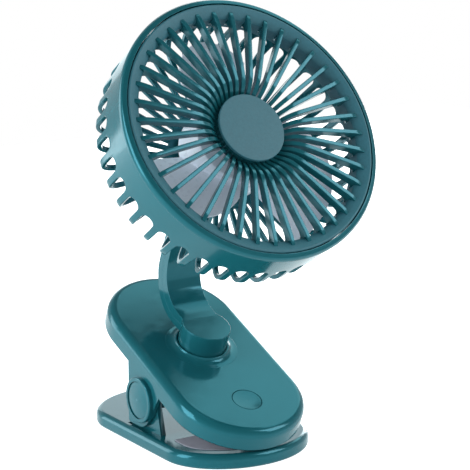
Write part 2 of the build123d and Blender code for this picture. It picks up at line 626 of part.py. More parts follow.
with BuildPart() as support_arm:
    with BuildSketch(SWIVEL.offset(KNOB_FLOOR)):
        Circle(KNOB_R)
    extrude(amount=KNOB_TOP - KNOB_FLOOR)
    with BuildSketch(SWIVEL.offset(KNOB_NECK_W)):
        draw_knob_neck()
    extrude(amount=KNOB_TOP - KNOB_NECK_W)
    fillet(support_arm.faces().sort_by(SWIVEL_AXIS)[-1].edges(), KNOB_EDGE_ROUND)
    with BuildSketch(Plane.YZ):
        with BuildLine():
            inner_curve = Spline(*ARM_INNER)
            parting_curve = Spline(*ARM_PARTING)
            Line(inner_curve @ 0, parting_curve @ 0)
            Line(inner_curve @ 1, parting_curve @ 1)
        make_face()
    extrude(amount=ARM_HALF_WIDTH, both=True)
    # room for the lugs on both sides of the eye
    with BuildSketch(Plane.YZ):
        with Locations(TILT_YZ):
            Circle(LUG_CLEARANCE_R)
    extrude(amount=2 * ARM_HALF_WIDTH, both=True, mode=Mode.SUBTRACT)
    with BuildSketch(Plane.YZ):
        draw_eye()
    extrude(amount=EYE_HALF_WIDTH, both=True)
    with BuildSketch(Plane.YZ):
        with Locations(TILT_YZ):
            Circle(TILT_SCREW_R + RUNNING_GAP)
    extrude(amount=EYE_HALF_WIDTH, both=True, mode=Mode.SUBTRACT)
    # stub that turns in the housing
    with BuildSketch(SWIVEL.offset(KNOB_FLOOR)):
        Circle(STUB_R)
    extrude(amount=STUB_W - KNOB_FLOOR)
    with BuildSketch(SWIVEL.offset(STUB_W)):
        Circle(SCREW_R + SCREW_GAP)
    extrude(amount=SWIVEL_SCREW_DEPTH + MOULD_GAP, mode=Mode.SUBTRACT)
save(support_arm.part, "support_arm")

with BuildPart() as arm_back_cover:
    with BuildSketch(Plane.YZ):
        with BuildLine():
            outer_curve = Spline(*ARM_OUTER)
            parting_curve = Spline(*ARM_PARTING)
            Line(outer_curve @ 0, parting_curve @ 0)
            Line(outer_curve @ 1, parting_curve @ 1)
        make_face()
    extrude(amount=ARM_HALF_WIDTH, both=True)
    with BuildSketch(Plane.YZ):
        with Locations(TILT_YZ):
            Circle(LUG_CLEARANCE_R)
    extrude(amount=2 * ARM_HALF_WIDTH, both=True, mode=Mode.SUBTRACT)
    with BuildSketch(Plane.YZ):
        draw_eye(MOULD_GAP)
    extrude(amount=EYE_HALF_WIDTH + MOULD_GAP, both=True, mode=Mode.SUBTRACT)
    with BuildSketch(SWIVEL.offset(KNOB_NECK_FOOT_W[0])):
        draw_knob_neck()
    extrude(amount=KNOB_NECK_FOOT_W[1] - KNOB_NECK_FOOT_W[0])
    with BuildSketch(SWIVEL):
        Circle(KNOB_R)
    extrude(amount=2 * KNOB_TOP, mode=Mode.SUBTRACT)
save(arm_back_cover.part, "arm_back_cover")

with BuildPart() as swivel_washer:
    with BuildSketch(SWIVEL.offset(STUB_W)):
        Circle(SWIVEL_BOSS_R)
        Circle(SCREW_R + 2 * MOULD_GAP, mode=Mode.SUBTRACT)
    extrude(amount=-WASHER_T)
save(swivel_washer.part, "swivel_washer")

with BuildPart() as swivel_screw:
    with BuildSketch(SWIVEL.offset(STUB_W - WASHER_T)):
        Circle(SWIVEL_HEAD_R)
    extrude(amount=-SWIVEL_HEAD_T)
    with BuildSketch(SWIVEL.offset(STUB_W - WASHER_T)):
        Circle(SCREW_R)
    extrude(amount=WASHER_T + SWIVEL_SCREW_DEPTH)
save(swivel_screw.part, "swivel_screw")

# ---- Rear shell of the head, with its slotted guard ---------------------------------

with BuildPart() as guard_slot:     # in the head's own frame: X outwards, Z forwards
    with BuildSketch(Plane.YZ.offset(SLOT_TURN_R)):
        with Locations((0, SLOT_FRONT_W - SLOT_WIDTH / 2)):
            Circle(SLOT_WIDTH / 2)
            Rectangle(SLOT_WIDTH, HEAD_DEPTH, align=(Align.CENTER, Align.MAX))
    extrude(amount=RIM_R - SLOT_TURN_R)
    with BuildSketch(Plane.XY.offset(REAR_W - SHELL_T)):
        with BuildLine():
            Polyline((REAR_PLATE_R, -SLOT_INNER_WIDTH / 2), (SLOT_TURN_R, -SLOT_WIDTH / 2),
                     (SLOT_TURN_R, SLOT_WIDTH / 2), (REAR_PLATE_R, SLOT_INNER_WIDTH / 2), close=True)
        make_face()
    extrude(amount=CORNER_R)

with BuildPart() as rear_shell:
    with BuildSketch(HEAD_SECTION):
        with BuildLine():
            corner = (BAND_REAR_R - CORNER_R, REAR_W + CORNER_R)
            Polyline((SEAT_R, FRONT_W), *RIM_EDGE, (BAND_REAR_R, corner[1]))
            CenterArc(corner, CORNER_R, 0, -90)
            Polyline((corner[0], REAR_W), (0, REAR_W), (0, REAR_INNER_W), (corner[0], REAR_INNER_W))
            CenterArc(corner, CORNER_R - SHELL_T, 0, -90)
            Polyline((BAND_REAR_R - SHELL_T, corner[1]), (SEAT_R - SEAT_LEDGE, SEAT_W), (SEAT_R, SEAT_W),
                     (SEAT_R, FRONT_W))
        make_face()
    revolve(axis=HEAD_AXIS)
    with Locations(HEAD):
        with PolarLocations(0, RIB_COUNT, start_angle=SLOT_START):
            add(guard_slot.part, mode=Mode.SUBTRACT)
    # boss that carries the motor
    with BuildSketch(HEAD.offset(REAR_INNER_W)):
        Circle(MOTOR_BOSS_R)
    extrude(amount=STATOR_W[0] - REAR_INNER_W)
    with BuildSketch(HEAD.offset(REAR_INNER_W)):
        Circle(SLEEVE_R + SCREW_GAP)
        with PolarLocations(MOTOR_SCREW_R, 3):
            Circle(SCREW_R + SCREW_GAP)
    extrude(amount=STATOR_W[0] - REAR_INNER_W, mode=Mode.SUBTRACT)
    # lugs of the tilt hinge
    for side in (-1, 1):
        with BuildSketch(LUG_SECTION.offset(side * LUG_INNER_X)):
            Circle(LUG_R)
            with Locations((TILT_AXIS_BACK + SHELL_T / 4, 0)):
                Rectangle(SHELL_T / 2, LUG_FOOT)
            make_hull()
        extrude(amount=side * LUG_T)
    with BuildSketch(LUG_SECTION):
        Circle(TILT_SCREW_R + SCREW_GAP)
    extrude(amount=LUG_OUTER_X, both=True, mode=Mode.SUBTRACT)
save(rear_shell.part, "rear_shell")

with BuildPart() as tilt_screw:
    with BuildSketch(LUG_SECTION.offset(-LUG_OUTER_X)):
        Circle(TILT_HEAD_R)
    extrude(amount=-TILT_HEAD_T)
    with BuildSketch(LUG_SECTION.offset(-LUG_OUTER_X)):
        Circle(TILT_SCREW_R)
    extrude(amount=2 * LUG_OUTER_X + TILT_HEAD_T + TILT_SCREW_PROUD)
    with BuildSketch(LUG_SECTION.offset(-LUG_OUTER_X - TILT_HEAD_T)):
        RegularPolygon(TILT_SOCKET_R, 6)
    extrude(amount=TILT_SOCKET_DEPTH, mode=Mode.SUBTRACT)
save(tilt_screw.part, "tilt_screw")

with BuildPart() as tilt_nut:
    with BuildSketch(LUG_SECTION.offset(LUG_OUTER_X)):
        RegularPolygon(TILT_HEAD_R, 6)
        Circle(TILT_SCREW_R + SCREW_GAP, mode=Mode.SUBTRACT)
    extrude(amount=TILT_HEAD_T)
save(tilt_nut.part, "tilt_nut")

with BuildPart() as tilt_washers:
    for side in (-1, 1):
        with BuildSketch(LUG_SECTION.offset(side * LUG_INNER_X)):
            Circle(EYE_R - 0.5)
            Circle(TILT_SCREW_R + SCREW_GAP, mode=Mode.SUBTRACT)
        extrude(amount=-side * (LUG_GAP - MOULD_GAP))
save(tilt_washers.part, "tilt_washers")

# ---- Front grille ------------------------------------------------------------------

with BuildPart() as grille_spoke:   # in the head's own frame, like the slot
    with BuildSketch(Plane.XZ):
        with BuildLine():
            Polyline(*SPOKE_ROOT)
            Spline(SPOKE_ROOT[-1], *SPOKE_BEND, tangents=((0.5, 1.0), (1.0, 0.15)))
            Line(SPOKE_BEND[-1], SPOKE_END[0])
            ThreePointArc(*SPOKE_END)
            Polyline(SPOKE_END[-1], *SPOKE_BACK, SPOKE_ROOT[0])
        make_face()
    extrude(amount=SPOKE_WIDTH / 2, both=True)

with BuildPart() as front_grille:
    with BuildSketch(HEAD_SECTION):
        with BuildLine():
            Polyline((SEAT_R - MOULD_GAP / 2, FRONT_W), *RING_FACE, *RING_BACK, (SEAT_R - MOULD_GAP / 2, SEAT_W),
                     close=True)
        make_face()
    revolve(axis=HEAD_AXIS)
    with Locations(HEAD):
        with PolarLocations(0, SPOKE_COUNT):
            add(grille_spoke.part)
    with BuildSketch(HEAD.offset(HUB_BASE_W[0])):
        Circle(HUB_BASE_R)
    extrude(amount=HUB_BASE_W[1] - HUB_BASE_W[0])
save(front_grille.part, "front_grille")

with BuildPart() as hub_cap:
    with BuildSketch(HEAD.offset(HUB_CAP_W[0])):
        Circle(HUB_CAP_R)
    extrude(amount=HUB_CAP_W[1] - HUB_CAP_W[0])
    fillet(hub_cap.faces().sort_by(HEAD_AXIS)[-1].edges(), HUB_CAP_ROUND)
    with BuildSketch(HEAD.offset(HUB_CAP_W[0])):
        Circle(HUB_BASE_R + MOULD_GAP / 2)
    extrude(amount=HUB_BASE_W[1] - HUB_CAP_W[0], mode=Mode.SUBTRACT)
save(hub_cap.part, "hub_cap")

# ---- Motor -------------------------------------------------------------------------

with BuildPart() as bearing_sleeve:
    with BuildSketch(HEAD.offset(REAR_INNER_W)):
        Circle(SLEEVE_R)
        Circle(SHAFT_R + SHAFT_GAP, mode=Mode.SUBTRACT)
    extrude(amount=SLEEVE_FRONT_W - REAR_INNER_W)
save(bearing_sleeve.part, "bearing_sleeve")

with BuildPart() as stator_core:
    with BuildSketch(HEAD.offset(STATOR_W[0])):
        Circle(STATOR_HUB_R)
        with PolarLocations(0, STATOR_TEETH):
            Rectangle(STATOR_R, TOOTH_WIDTH, align=(Align.MIN, Align.CENTER))
        with PolarLocations(STATOR_R - SHOE_SIZE[0] / 2, STATOR_TEETH):
            Rectangle(*SHOE_SIZE)
        Circle(STATOR_R, mode=Mode.INTERSECT)
        Circle(SLEEVE_R + SCREW_GAP, mode=Mode.SUBTRACT)
        with PolarLocations(MOTOR_SCREW_R, 3):
            Circle(SCREW_R + SCREW_GAP, mode=Mode.SUBTRACT)
    extrude(amount=STATOR_W[1] - STATOR_W[0])
save(stator_core.part, "stator_core")

with BuildPart() as winding:
    with BuildSketch(Plane.YZ.offset(WINDING_START)):
        with Locations((0, sum(STATOR_W) / 2)):
            RectangleRounded(TOOTH_WIDTH + 2 * WINDING_T[0], STATOR_W[1] - STATOR_W[0] + 2 * WINDING_T[1],
                             WINDING_ROUND)
            Rectangle(TOOTH_WIDTH + MOULD_GAP, STATOR_W[1] - STATOR_W[0] + MOULD_GAP, mode=Mode.SUBTRACT)
    extrude(amount=WINDING_LENGTH)

with BuildPart() as stator_windings:
    with Locations(HEAD):
        with PolarLocations(0, STATOR_TEETH):
            add(winding.part)
save(stator_windings.part, "stator_windings")

with BuildPart() as motor_screws:
    with BuildSketch(HEAD.offset(STATOR_W[1])):
        with PolarLocations(MOTOR_SCREW_R, 3):
            Circle(SCREW_HEAD_R)
    extrude(amount=SCREW_HEAD_T)
    with BuildSketch(HEAD.offset(STATOR_W[1])):
        with PolarLocations(MOTOR_SCREW_R, 3):
            Circle(SCREW_R)
    extrude(amount=REAR_INNER_W + MOULD_GAP - STATOR_W[1])
save(motor_screws.part, "motor_screws")

# ---- Impeller and what turns with it -----------------------------------------------

with BuildPart() as blade:          # in the head's own frame, its reach along X
    for reach in BLADE_STATIONS:
        rear_y = BLADE_REAR_SLOPE * reach
        front_y = BLADE_FRONT_ROOT + BLADE_FRONT_SLOPE * reach
        middle = ((rear_y + front_y) / 2, sum(BLADE_W) / 2 + BLADE_CAMBER)
        with BuildSketch(Plane.YZ.offset(reach)):
            with BuildLine():
                ThreePointArc((rear_y, BLADE_W[0]), middle, (front_y, BLADE_W[1]))
                Line((front_y, BLADE_W[1]), (front_y, BLADE_W[1] - BLADE_T))
                ThreePointArc((front_y, BLADE_W[1] - BLADE_T), (middle[0], middle[1] - BLADE_T),
                              (rear_y, BLADE_W[0] - BLADE_T))
                Line((rear_y, BLADE_W[0] - BLADE_T), (rear_y, BLADE_W[0]))
            make_face()
    loft()
    with BuildSketch(Plane.XY.offset(ROTOR_W[0])):
        Circle(BLADE_TIP_R)
        Polygon((0, 0), (BLADE_TIP_R, BLADE_REAR_SLOPE * BLADE_TIP_R),
                (BLADE_TIP_R, BLADE_FRONT_ROOT + BLADE_FRONT_SLOPE * BLADE_TIP_R), (0, BLADE_FRONT_ROOT),
                align=None, mode=Mode.INTERSECT)
        fillet(vertices().sort_by(Axis.Y)[-1], BLADE_TIP_ROUND)
        Circle(ROTOR_R - ROTOR_WALL / 2, mode=Mode.SUBTRACT)
    extrude(amount=HEAD_DEPTH, mode=Mode.INTERSECT)

with BuildPart() as impeller:
    with BuildSketch(HEAD_SECTION):
        with BuildLine():
            Line((0, ROTOR_W[1]), (ROTOR_R - ROTOR_ROUND, ROTOR_W[1]))
            CenterArc((ROTOR_R - ROTOR_ROUND, ROTOR_W[1] - ROTOR_ROUND), ROTOR_ROUND, 90, -90)
            floor_w = ROTOR_W[1] - ROTOR_FLOOR_T
            Polyline((ROTOR_R, ROTOR_W[1] - ROTOR_ROUND), (ROTOR_R, ROTOR_W[0]), (ROTOR_R - ROTOR_WALL, ROTOR_W[0]),
                     (ROTOR_R - ROTOR_WALL, floor_w), (3 * SHAFT_R, floor_w),
                     (3 * SHAFT_R, ROTOR_BOSS_W), (SHAFT_R + SCREW_GAP / 2, ROTOR_BOSS_W),
                     (SHAFT_R + SCREW_GAP / 2, SHAFT_FRONT_W), (0, SHAFT_FRONT_W), (0, ROTOR_W[1]))
        make_face()
    revolve(axis=HEAD_AXIS)
    with Locations(HEAD):
        with PolarLocations(0, BLADE_COUNT, start_angle=BLADE_START):
            add(blade.part)
save(impeller.part, "impeller")

with BuildPart() as motor_shaft:
    with BuildSketch(HEAD.offset(SHAFT_FRONT_W)):
        Circle(SHAFT_R)
    extrude(amount=REAR_INNER_W + MOULD_GAP - SHAFT_FRONT_W)
save(motor_shaft.part, "motor_shaft")

with BuildPart() as rotor_magnet:
    with BuildSketch(HEAD.offset(MAGNET_W[0])):
        Circle(ROTOR_R - ROTOR_WALL - SCREW_GAP)
        Circle(ROTOR_R - ROTOR_WALL - MAGNET_T, mode=Mode.SUBTRACT)
    extrude(amount=MAGNET_W[1] - MAGNET_W[0])
save(rotor_magnet.part, "rotor_magnet")
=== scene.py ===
"""Clip-on camping fan: finishes, detailed pieces and a plain studio, laid out as an add-on.

Metres, +Z up, the fan faces -Y. Modelling sizes are in millimetres, the materials and the studio in metres.
"""
import json
from math import acos, asin, cos, pi, radians, sin

import bpy
from mathutils import Matrix, Quaternion, Vector


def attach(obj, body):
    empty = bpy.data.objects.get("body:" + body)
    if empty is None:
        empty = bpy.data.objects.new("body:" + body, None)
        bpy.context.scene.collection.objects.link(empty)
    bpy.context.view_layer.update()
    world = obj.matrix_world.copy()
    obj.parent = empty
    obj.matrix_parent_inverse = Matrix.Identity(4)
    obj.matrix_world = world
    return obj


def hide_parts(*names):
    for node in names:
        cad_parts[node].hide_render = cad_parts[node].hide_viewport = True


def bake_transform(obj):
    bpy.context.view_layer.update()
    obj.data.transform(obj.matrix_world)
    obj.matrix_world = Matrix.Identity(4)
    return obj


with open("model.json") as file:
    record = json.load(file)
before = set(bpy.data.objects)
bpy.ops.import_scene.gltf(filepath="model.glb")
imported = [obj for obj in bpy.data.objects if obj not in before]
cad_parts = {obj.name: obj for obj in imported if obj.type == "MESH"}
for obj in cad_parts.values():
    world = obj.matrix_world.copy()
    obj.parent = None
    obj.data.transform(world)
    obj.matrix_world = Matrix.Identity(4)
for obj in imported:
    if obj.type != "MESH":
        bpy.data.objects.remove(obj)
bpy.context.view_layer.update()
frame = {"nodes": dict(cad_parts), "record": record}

bl_info = {
    "name": "Clip-on camping fan",
    "version": (1, 0, 0),
    "blender": (4, 5, 0),
    "location": "3D View > Sidebar > Fan",
    "description": "Dresses the packed fan with its finishes and detailed pieces, and lights it",
    "category": "Object",
}

MM = 0.001


# ---- Settings ----

class FinishSettings(bpy.types.PropertyGroup):
    """Colours and roughness of the fan's finishes."""

    shell_colour: bpy.props.FloatVectorProperty(
        name="Shell", description="Colour of the moulded shells", subtype="COLOR",
        size=4, min=0, max=1, default=(0.008, 0.088, 0.106, 1),
    )
    matt_colour: bpy.props.FloatVectorProperty(
        name="Hub cap", description="Colour of the textured hub cap and front ring", subtype="COLOR",
        size=4, min=0, max=1, default=(0.028, 0.135, 0.175, 1),
    )
    gloss_tint: bpy.props.FloatVectorProperty(
        name="Gloss tint", description="Colour of the shells' reflections", subtype="COLOR",
        size=4, min=0, max=1, default=(0.25, 0.80, 1.0, 1),
    )
    pad_colour: bpy.props.FloatVectorProperty(
        name="Pads", description="Colour of the soft grip pads", subtype="COLOR",
        size=4, min=0, max=1, default=(0.27, 0.26, 0.31, 1),
    )
    impeller_colour: bpy.props.FloatVectorProperty(
        name="Impeller", description="Colour of the frosted impeller", subtype="COLOR",
        size=4, min=0, max=1, default=(0.66, 0.71, 0.78, 1),
    )
    shell_roughness: bpy.props.FloatProperty(
        name="Shell roughness", description="How matt the moulded shells are",
        min=0.05, max=1, default=0.13, subtype="FACTOR",
    )


class HeadSettings(bpy.types.PropertyGroup):
    """Sizes of the head's own pieces."""

    spoke_count: bpy.props.IntProperty(
        name="Spokes", description="Spokes of the front grille", min=8, default=40,
    )
    spoke_width: bpy.props.FloatProperty(
        name="Spoke width", description="Width of one spoke", min=0, default=2.15 * MM, unit="LENGTH",
    )
    rib_count: bpy.props.IntProperty(
        name="Ribs", description="Ribs of the rear guard", min=8, default=40,
    )
    slot_width: bpy.props.FloatProperty(
        name="Slot width", description="Width of a slot between two ribs on the head's side",
        min=0, default=7.5 * MM, unit="LENGTH",
    )
    slot_start: bpy.props.FloatProperty(
        name="First slot", description="Angle of the first slot's middle",
        default=radians(2), unit="ROTATION",
    )
    blade_start: bpy.props.FloatProperty(
        name="First blade", description="Angle of the first blade", default=radians(92.6), unit="ROTATION",
    )
    blade_thickness: bpy.props.FloatProperty(
        name="Blade thickness", description="Thickness of the impeller's blades",
        min=0, default=1.5 * MM, unit="LENGTH",
    )


class StudioSettings(bpy.types.PropertyGroup):
    """Strength of the studio's lights."""

    deck_power: bpy.props.FloatProperty(
        name="Rear light", description="Power per square metre of the two panels behind and above the fan",
        min=0, default=6.3,
    )
    front_power: bpy.props.FloatProperty(
        name="Front light", description="Power of the softbox at the right front",
        min=0, default=3.5, unit="POWER",
    )
    low_power: bpy.props.FloatProperty(
        name="Low light", description="Power of the low softbox behind the fan's left side",
        min=0, default=1.6, unit="POWER",
    )
    sweep_power: bpy.props.FloatProperty(
        name="Sweep light", description="Power of the wide softbox low behind the fan",
        min=0, default=1.9, unit="POWER",
    )
    rim_power: bpy.props.FloatProperty(
        name="Rim light", description="Power of the strip behind the fan's right side",
        min=0, default=2.0, unit="POWER",
    )
    left_power: bpy.props.FloatProperty(
        name="Left light", description="Power of the strip on the left",
        min=0, default=5.5, unit="POWER",
    )
    floor_glow: bpy.props.FloatProperty(
        name="Floor glow", description="How much the pale floor lights the fan", min=0, default=0.52,
    )
    surround: bpy.props.FloatProperty(
        name="Surround", description="Brightness of the studio round the fan", min=0, default=0.68,
    )


# ---- Materials: sizes and depths in metres ----

NOISE_SPAN = (0.3, 0.7)     # nearly all of a noise's values lie between these


def set_sockets(node, values):
    """Set a node's own sockets by their names."""
    for socket, value in values.items():
        node.inputs[socket].default_value = value


def new_material(name, colour, roughness, metallic=0.0, specular=0.5, tint=(1, 1, 1, 1)):
    """A material whose plain numbers sit on the shader's own sockets."""
    material = bpy.data.materials.new(f"{name}_finish")
    material.use_nodes = True
    set_sockets(material.node_tree.nodes["Principled BSDF"], {
        "Base Color": colour, "Roughness": roughness, "Metallic": metallic,
        "Specular IOR Level": specular, "Specular Tint": tint,
    })
    return material


def object_noise(tree, size, stretch=(1, 1, 1)):
    """Noise whose grains are this large, fixed to the piece."""
    place = tree.nodes.new("ShaderNodeTexCoord")
    mapping = tree.nodes.new("ShaderNodeMapping")
    set_sockets(mapping, {"Scale": stretch})
    noise = tree.nodes.new("ShaderNodeTexNoise")
    set_sockets(noise, {"Scale": 1 / size, "Detail": 3.0})
    tree.links.new(place.outputs["Object"], mapping.inputs["Vector"])
    tree.links.new(mapping.outputs["Vector"], noise.inputs["Vector"])
    return noise.outputs["Fac"]


def ranged_noise(tree, size, low, high):
    """Noise whose values are spread between two numbers."""
    spread = tree.nodes.new("ShaderNodeMapRange")
    set_sockets(spread, {"From Min": NOISE_SPAN[0], "From Max": NOISE_SPAN[1], "To Min": low, "To Max": high})
    tree.links.new(object_noise(tree, size), spread.inputs["Value"])
    return spread.outputs["Result"]


def add_grain(material, size, depth, strength=1.0, stretch=(1, 1, 1)):
    """Fine surface relief: grains this large and this deep, on top of any relief before."""
    tree = material.node_tree
    shader = tree.nodes["Principled BSDF"]
    bump = tree.nodes.new("ShaderNodeBump")
    set_sockets(bump, {"Strength": strength, "Distance": depth})
    if shader.inputs["Normal"].is_linked:
        tree.links.new(shader.inputs["Normal"].links[0].from_socket, bump.inputs["Normal"])
    tree.links.new(object_noise(tree, size, stretch), bump.inputs["Height"])
    tree.links.new(bump.outputs["Normal"], shader.inputs["Normal"])


def vary_roughness(material, size, spread):
    """Roughness that wanders a little over the surface."""
    tree = material.node_tree
    shader = tree.nodes["Principled BSDF"]
    middle = shader.inputs["Roughness"].default_value
    tree.links.new(ranged_noise(tree, size, middle - spread, middle + spread), shader.inputs["Roughness"])


def vary_colour(material, size, share):
    """Colour that is a little darker and lighter in soft patches."""
    tree = material.node_tree
    shader = tree.nodes["Principled BSDF"]
    colour = shader.inputs["Base Color"].default_value
    mix = tree.nodes.new("ShaderNodeMix")
    mix.data_type = "RGBA"
    darker = [channel * (1 - share) for channel in colour[:3]] + [1]
    lighter = [min(1, channel * (1 + share)) for channel in colour[:3]] + [1]
    set_sockets(mix, {"A": darker, "B": lighter})
    tree.links.new(ranged_noise(tree, size, 0, 1), mix.inputs["Factor"])
    tree.links.new(mix.outputs["Result"], shader.inputs["Base Color"])


def gloss_shell(settings):
    """Semi-gloss moulded plastic with the faint waviness of a polished mould."""
    material = new_material("shell", settings.shell_colour, settings.shell_roughness, specular=0.6,
                            tint=settings.gloss_tint)
    vary_colour(material, size=0.03, share=0.05)
    vary_roughness(material, size=0.006, spread=0.04)
    add_grain(material, size=0.0006, depth=0.000006)
    add_grain(material, size=0.008, depth=0.00004, strength=0.5)
    return material


def textured_plastic(name, colour, roughness=0.55):
    """Plastic from a spark-eroded mould: a fine, even sand texture."""
    material = new_material(name, colour, roughness, specular=0.4)
    vary_colour(material, size=0.0012, share=0.06)
    vary_roughness(material, size=0.001, spread=0.06)
    add_grain(material, size=0.0005, depth=0.00003)
    return material


def soft_rubber(settings):
    """Silicone rubber: matt, with a faint dusty mottle."""
    material = new_material("pad", settings.pad_colour, roughness=0.72, specular=0.3)
    vary_colour(material, size=0.004, share=0.07)
    vary_roughness(material, size=0.002, spread=0.08)
    add_grain(material, size=0.0004, depth=0.00002)
    return material


def frosted_impeller(settings):
    """Satin plastic, with a faint painted glow in place of light shining through the blades."""
    material = new_material("impeller", settings.impeller_colour, roughness=0.3)
    # painted glow: a faint cool emission that makes the blades look lit from within
    painted_glow = {"Emission Color": (0.70, 0.82, 1.0, 1), "Emission Strength": 0.14}
    set_sockets(material.node_tree.nodes["Principled BSDF"], painted_glow)
    vary_colour(material, size=0.02, share=0.03)
    vary_roughness(material, size=0.003, spread=0.05)
    add_grain(material, size=0.0005, depth=0.000008)
    return material


def plated_steel():
    """Zinc-plated steel with fine drawn lines."""
    material = new_material("steel", (0.56, 0.57, 0.58, 1), roughness=0.3, metallic=1.0)
    vary_roughness(material, size=0.001, spread=0.08)
    add_grain(material, size=0.0004, depth=0.00001, stretch=(1, 6, 6))
    return material


def metal(name, colour):
    """Bare metal with a fine grain."""
    material = new_material(name, colour, roughness=0.3, metallic=1.0)
    vary_colour(material, size=0.002, share=0.1)
    vary_roughness(material, size=0.001, spread=0.06)
    add_grain(material, size=0.0004, depth=0.00001)
    return material


def foil_pouch():
    """The battery's creased foil."""
    material = new_material("battery", (0.42, 0.44, 0.47, 1), roughness=0.38, metallic=0.8)
    vary_colour(material, size=0.01, share=0.06)
    vary_roughness(material, size=0.004, spread=0.08)
    add_grain(material, size=0.004, depth=0.0001)
    add_grain(material, size=0.0006, depth=0.00001)
    return material


def solder_mask():
    """A circuit board's green lacquer with buried tracks."""
    material = new_material("board", (0.012, 0.12, 0.045, 1), roughness=0.25)
    vary_colour(material, size=0.0015, share=0.25)
    vary_roughness(material, size=0.002, spread=0.05)
    add_grain(material, size=0.0012, depth=0.00003)
    return material


def make_finishes():
    """Every finish by the name of its material slot."""
    settings = bpy.context.scene.fan_finish
    return {
        "shell": gloss_shell(settings),
        "cap": textured_plastic("cap", settings.matt_colour, roughness=0.5),
        "dark_plastic": textured_plastic("dark_plastic", (0.018, 0.022, 0.025, 1)),
        "pad": soft_rubber(settings),
        "steel": plated_steel(),
        "impeller": frosted_impeller(settings),
        "battery": foil_pouch(),
        "board": solder_mask(),
        "brass": metal("brass", (0.62, 0.42, 0.17, 1)),
        "copper": metal("copper", (0.62, 0.24, 0.09, 1)),
        "magnet": textured_plastic("magnet", (0.045, 0.045, 0.05, 1), roughness=0.45),
    }


def finish_of(name):
    """The finish made by the first operator."""
    material = bpy.data.materials.get(f"{name}_finish")
    if material is None:
        raise RuntimeError(f"the finish {name} is not made yet")
    return material


class FAN_OT_finish_nodes(bpy.types.Operator):
    """Give each of the fan's solids the finish of its material slot"""

    bl_idname = "fan.finish_nodes"
    bl_label = "Finish the solids"

    def execute(self, context):
        finishes = make_finishes()
        slot_of = {part["node"]: part["material_slot"] for part in frame["record"]["subparts"]}
        for name, piece in frame["nodes"].items():
            if not piece.material_slots:
                piece.data.materials.append(None)
            for slot in piece.material_slots:
                slot.material = finishes[slot_of[name]]
        return {"FINISHED"}


# ---- Modelling steps ----

MERGE_GAP = 0.002           # points closer than this become one
SMOOTH_ANGLE = radians(40)  # edges sharper than this stay crisp


def axes_at(centre, *axes):
    """The place of a piece whose own X, Y and Z point along these axes from a centre."""
    return Matrix.Translation(centre) @ Matrix(axes).transposed().to_4x4()


def arc(centre, radii, start, end, steps):
    """Points round part of a circle or an ellipse, from one angle to another."""
    turns = [start + (end - start) * step / steps for step in range(steps + 1)]
    return [(centre[0] + radii[0] * cos(turn), centre[1] + radii[1] * sin(turn)) for turn in turns]


def deselect_all():
    """Leave edit mode with nothing selected."""
    if bpy.context.mode != "OBJECT":
        bpy.ops.object.mode_set(mode="OBJECT")
    bpy.ops.object.select_all(action="DESELECT")


def select_only(*pieces):
    """Select these objects, the first one active."""
    deselect_all()
    for piece in pieces:
        piece.select_set(True)
    bpy.context.view_layer.objects.active = pieces[0]


def draw_line(name, points):
    """A mesh line through points, drawn by extruding one vertex; stays in edit mode."""
    places = [Vector(point) * MM for point in points]
    deselect_all()
    bpy.ops.mesh.primitive_plane_add(size=MM, location=(0, 0, 0))
    piece = bpy.context.object
    piece.name = name
    bpy.ops.object.mode_set(mode="EDIT")
    bpy.ops.mesh.select_all(action="SELECT")
    bpy.ops.mesh.merge(type="CENTER")
    bpy.ops.transform.translate(value=places[0])
    for here, there in zip(places, places[1:]):
        bpy.ops.mesh.extrude_region_move(TRANSFORM_OT_translate={"value": there - here})
    return piece


def merge_points():
    """Merge doubled points and select everything, in edit mode."""
    bpy.ops.mesh.select_all(action="SELECT")
    bpy.ops.mesh.remove_doubles(threshold=MERGE_GAP * MM)
    bpy.ops.mesh.select_all(action="SELECT")


def clean_mesh():
    """Merge doubled points and turn every face outwards, in edit mode."""
    merge_points()
    bpy.ops.mesh.normals_make_consistent(inside=False)


def clean_piece(piece):
    """Merge a piece's doubled points and turn its faces outwards."""
    select_only(piece)
    bpy.ops.object.mode_set(mode="EDIT")
    clean_mesh()
    bpy.ops.object.mode_set(mode="OBJECT")


def lathe(name, profile, steps=160, ring=False):
    """Turn a side view, as points (radius, height), once round the upright axis; a ring's view is closed."""
    points = [(radius, 0, height) for radius, height in profile]
    if ring:
        points.append(points[0])
    piece = draw_line(name, points)
    merge_points()
    bpy.ops.mesh.spin(steps=steps, angle=2 * pi, center=(0, 0, 0), axis=(0, 0, 1))
    clean_mesh()
    bpy.ops.object.mode_set(mode="OBJECT")
    return piece


def cut_out(name, outline, depth):
    """A slab with this closed outline, as thick as the vector depth, half of it to each side."""
    piece = draw_line(name, list(outline) + [outline[0]])
    merge_points()
    bpy.ops.mesh.edge_face_add()
    bpy.ops.mesh.select_all(action="SELECT")
    bpy.ops.transform.translate(value=-Vector(depth) * MM / 2)
    bpy.ops.mesh.extrude_region_move(TRANSFORM_OT_translate={"value": Vector(depth) * MM})
    clean_mesh()
    bpy.ops.object.mode_set(mode="OBJECT")
    return piece


def flat_slab(name, plan, heights):
    """A slab seen from above, as points (X, Y), between two heights."""
    low, high = heights
    return cut_out(name, [(x, y, (low + high) / 2) for x, y in plan], (0, 0, high - low))


def side_slab(name, side, width):
    """A slab seen from the side, as points (Y, Z), half its width to each side."""
    return cut_out(name, [(0, y, z) for y, z in side], (width, 0, 0))


def bend_grid(name, columns, rows, place):
    """A grid of faces, each of its points placed by its column and row."""
    deselect_all()
    bpy.ops.mesh.primitive_grid_add(x_subdivisions=columns, y_subdivisions=rows, size=1)
    piece = bpy.context.object
    piece.name = name
    for vertex in piece.data.vertices:
        vertex.co = place(round((vertex.co.x + 0.5) * columns), round((vertex.co.y + 0.5) * rows))
    return piece


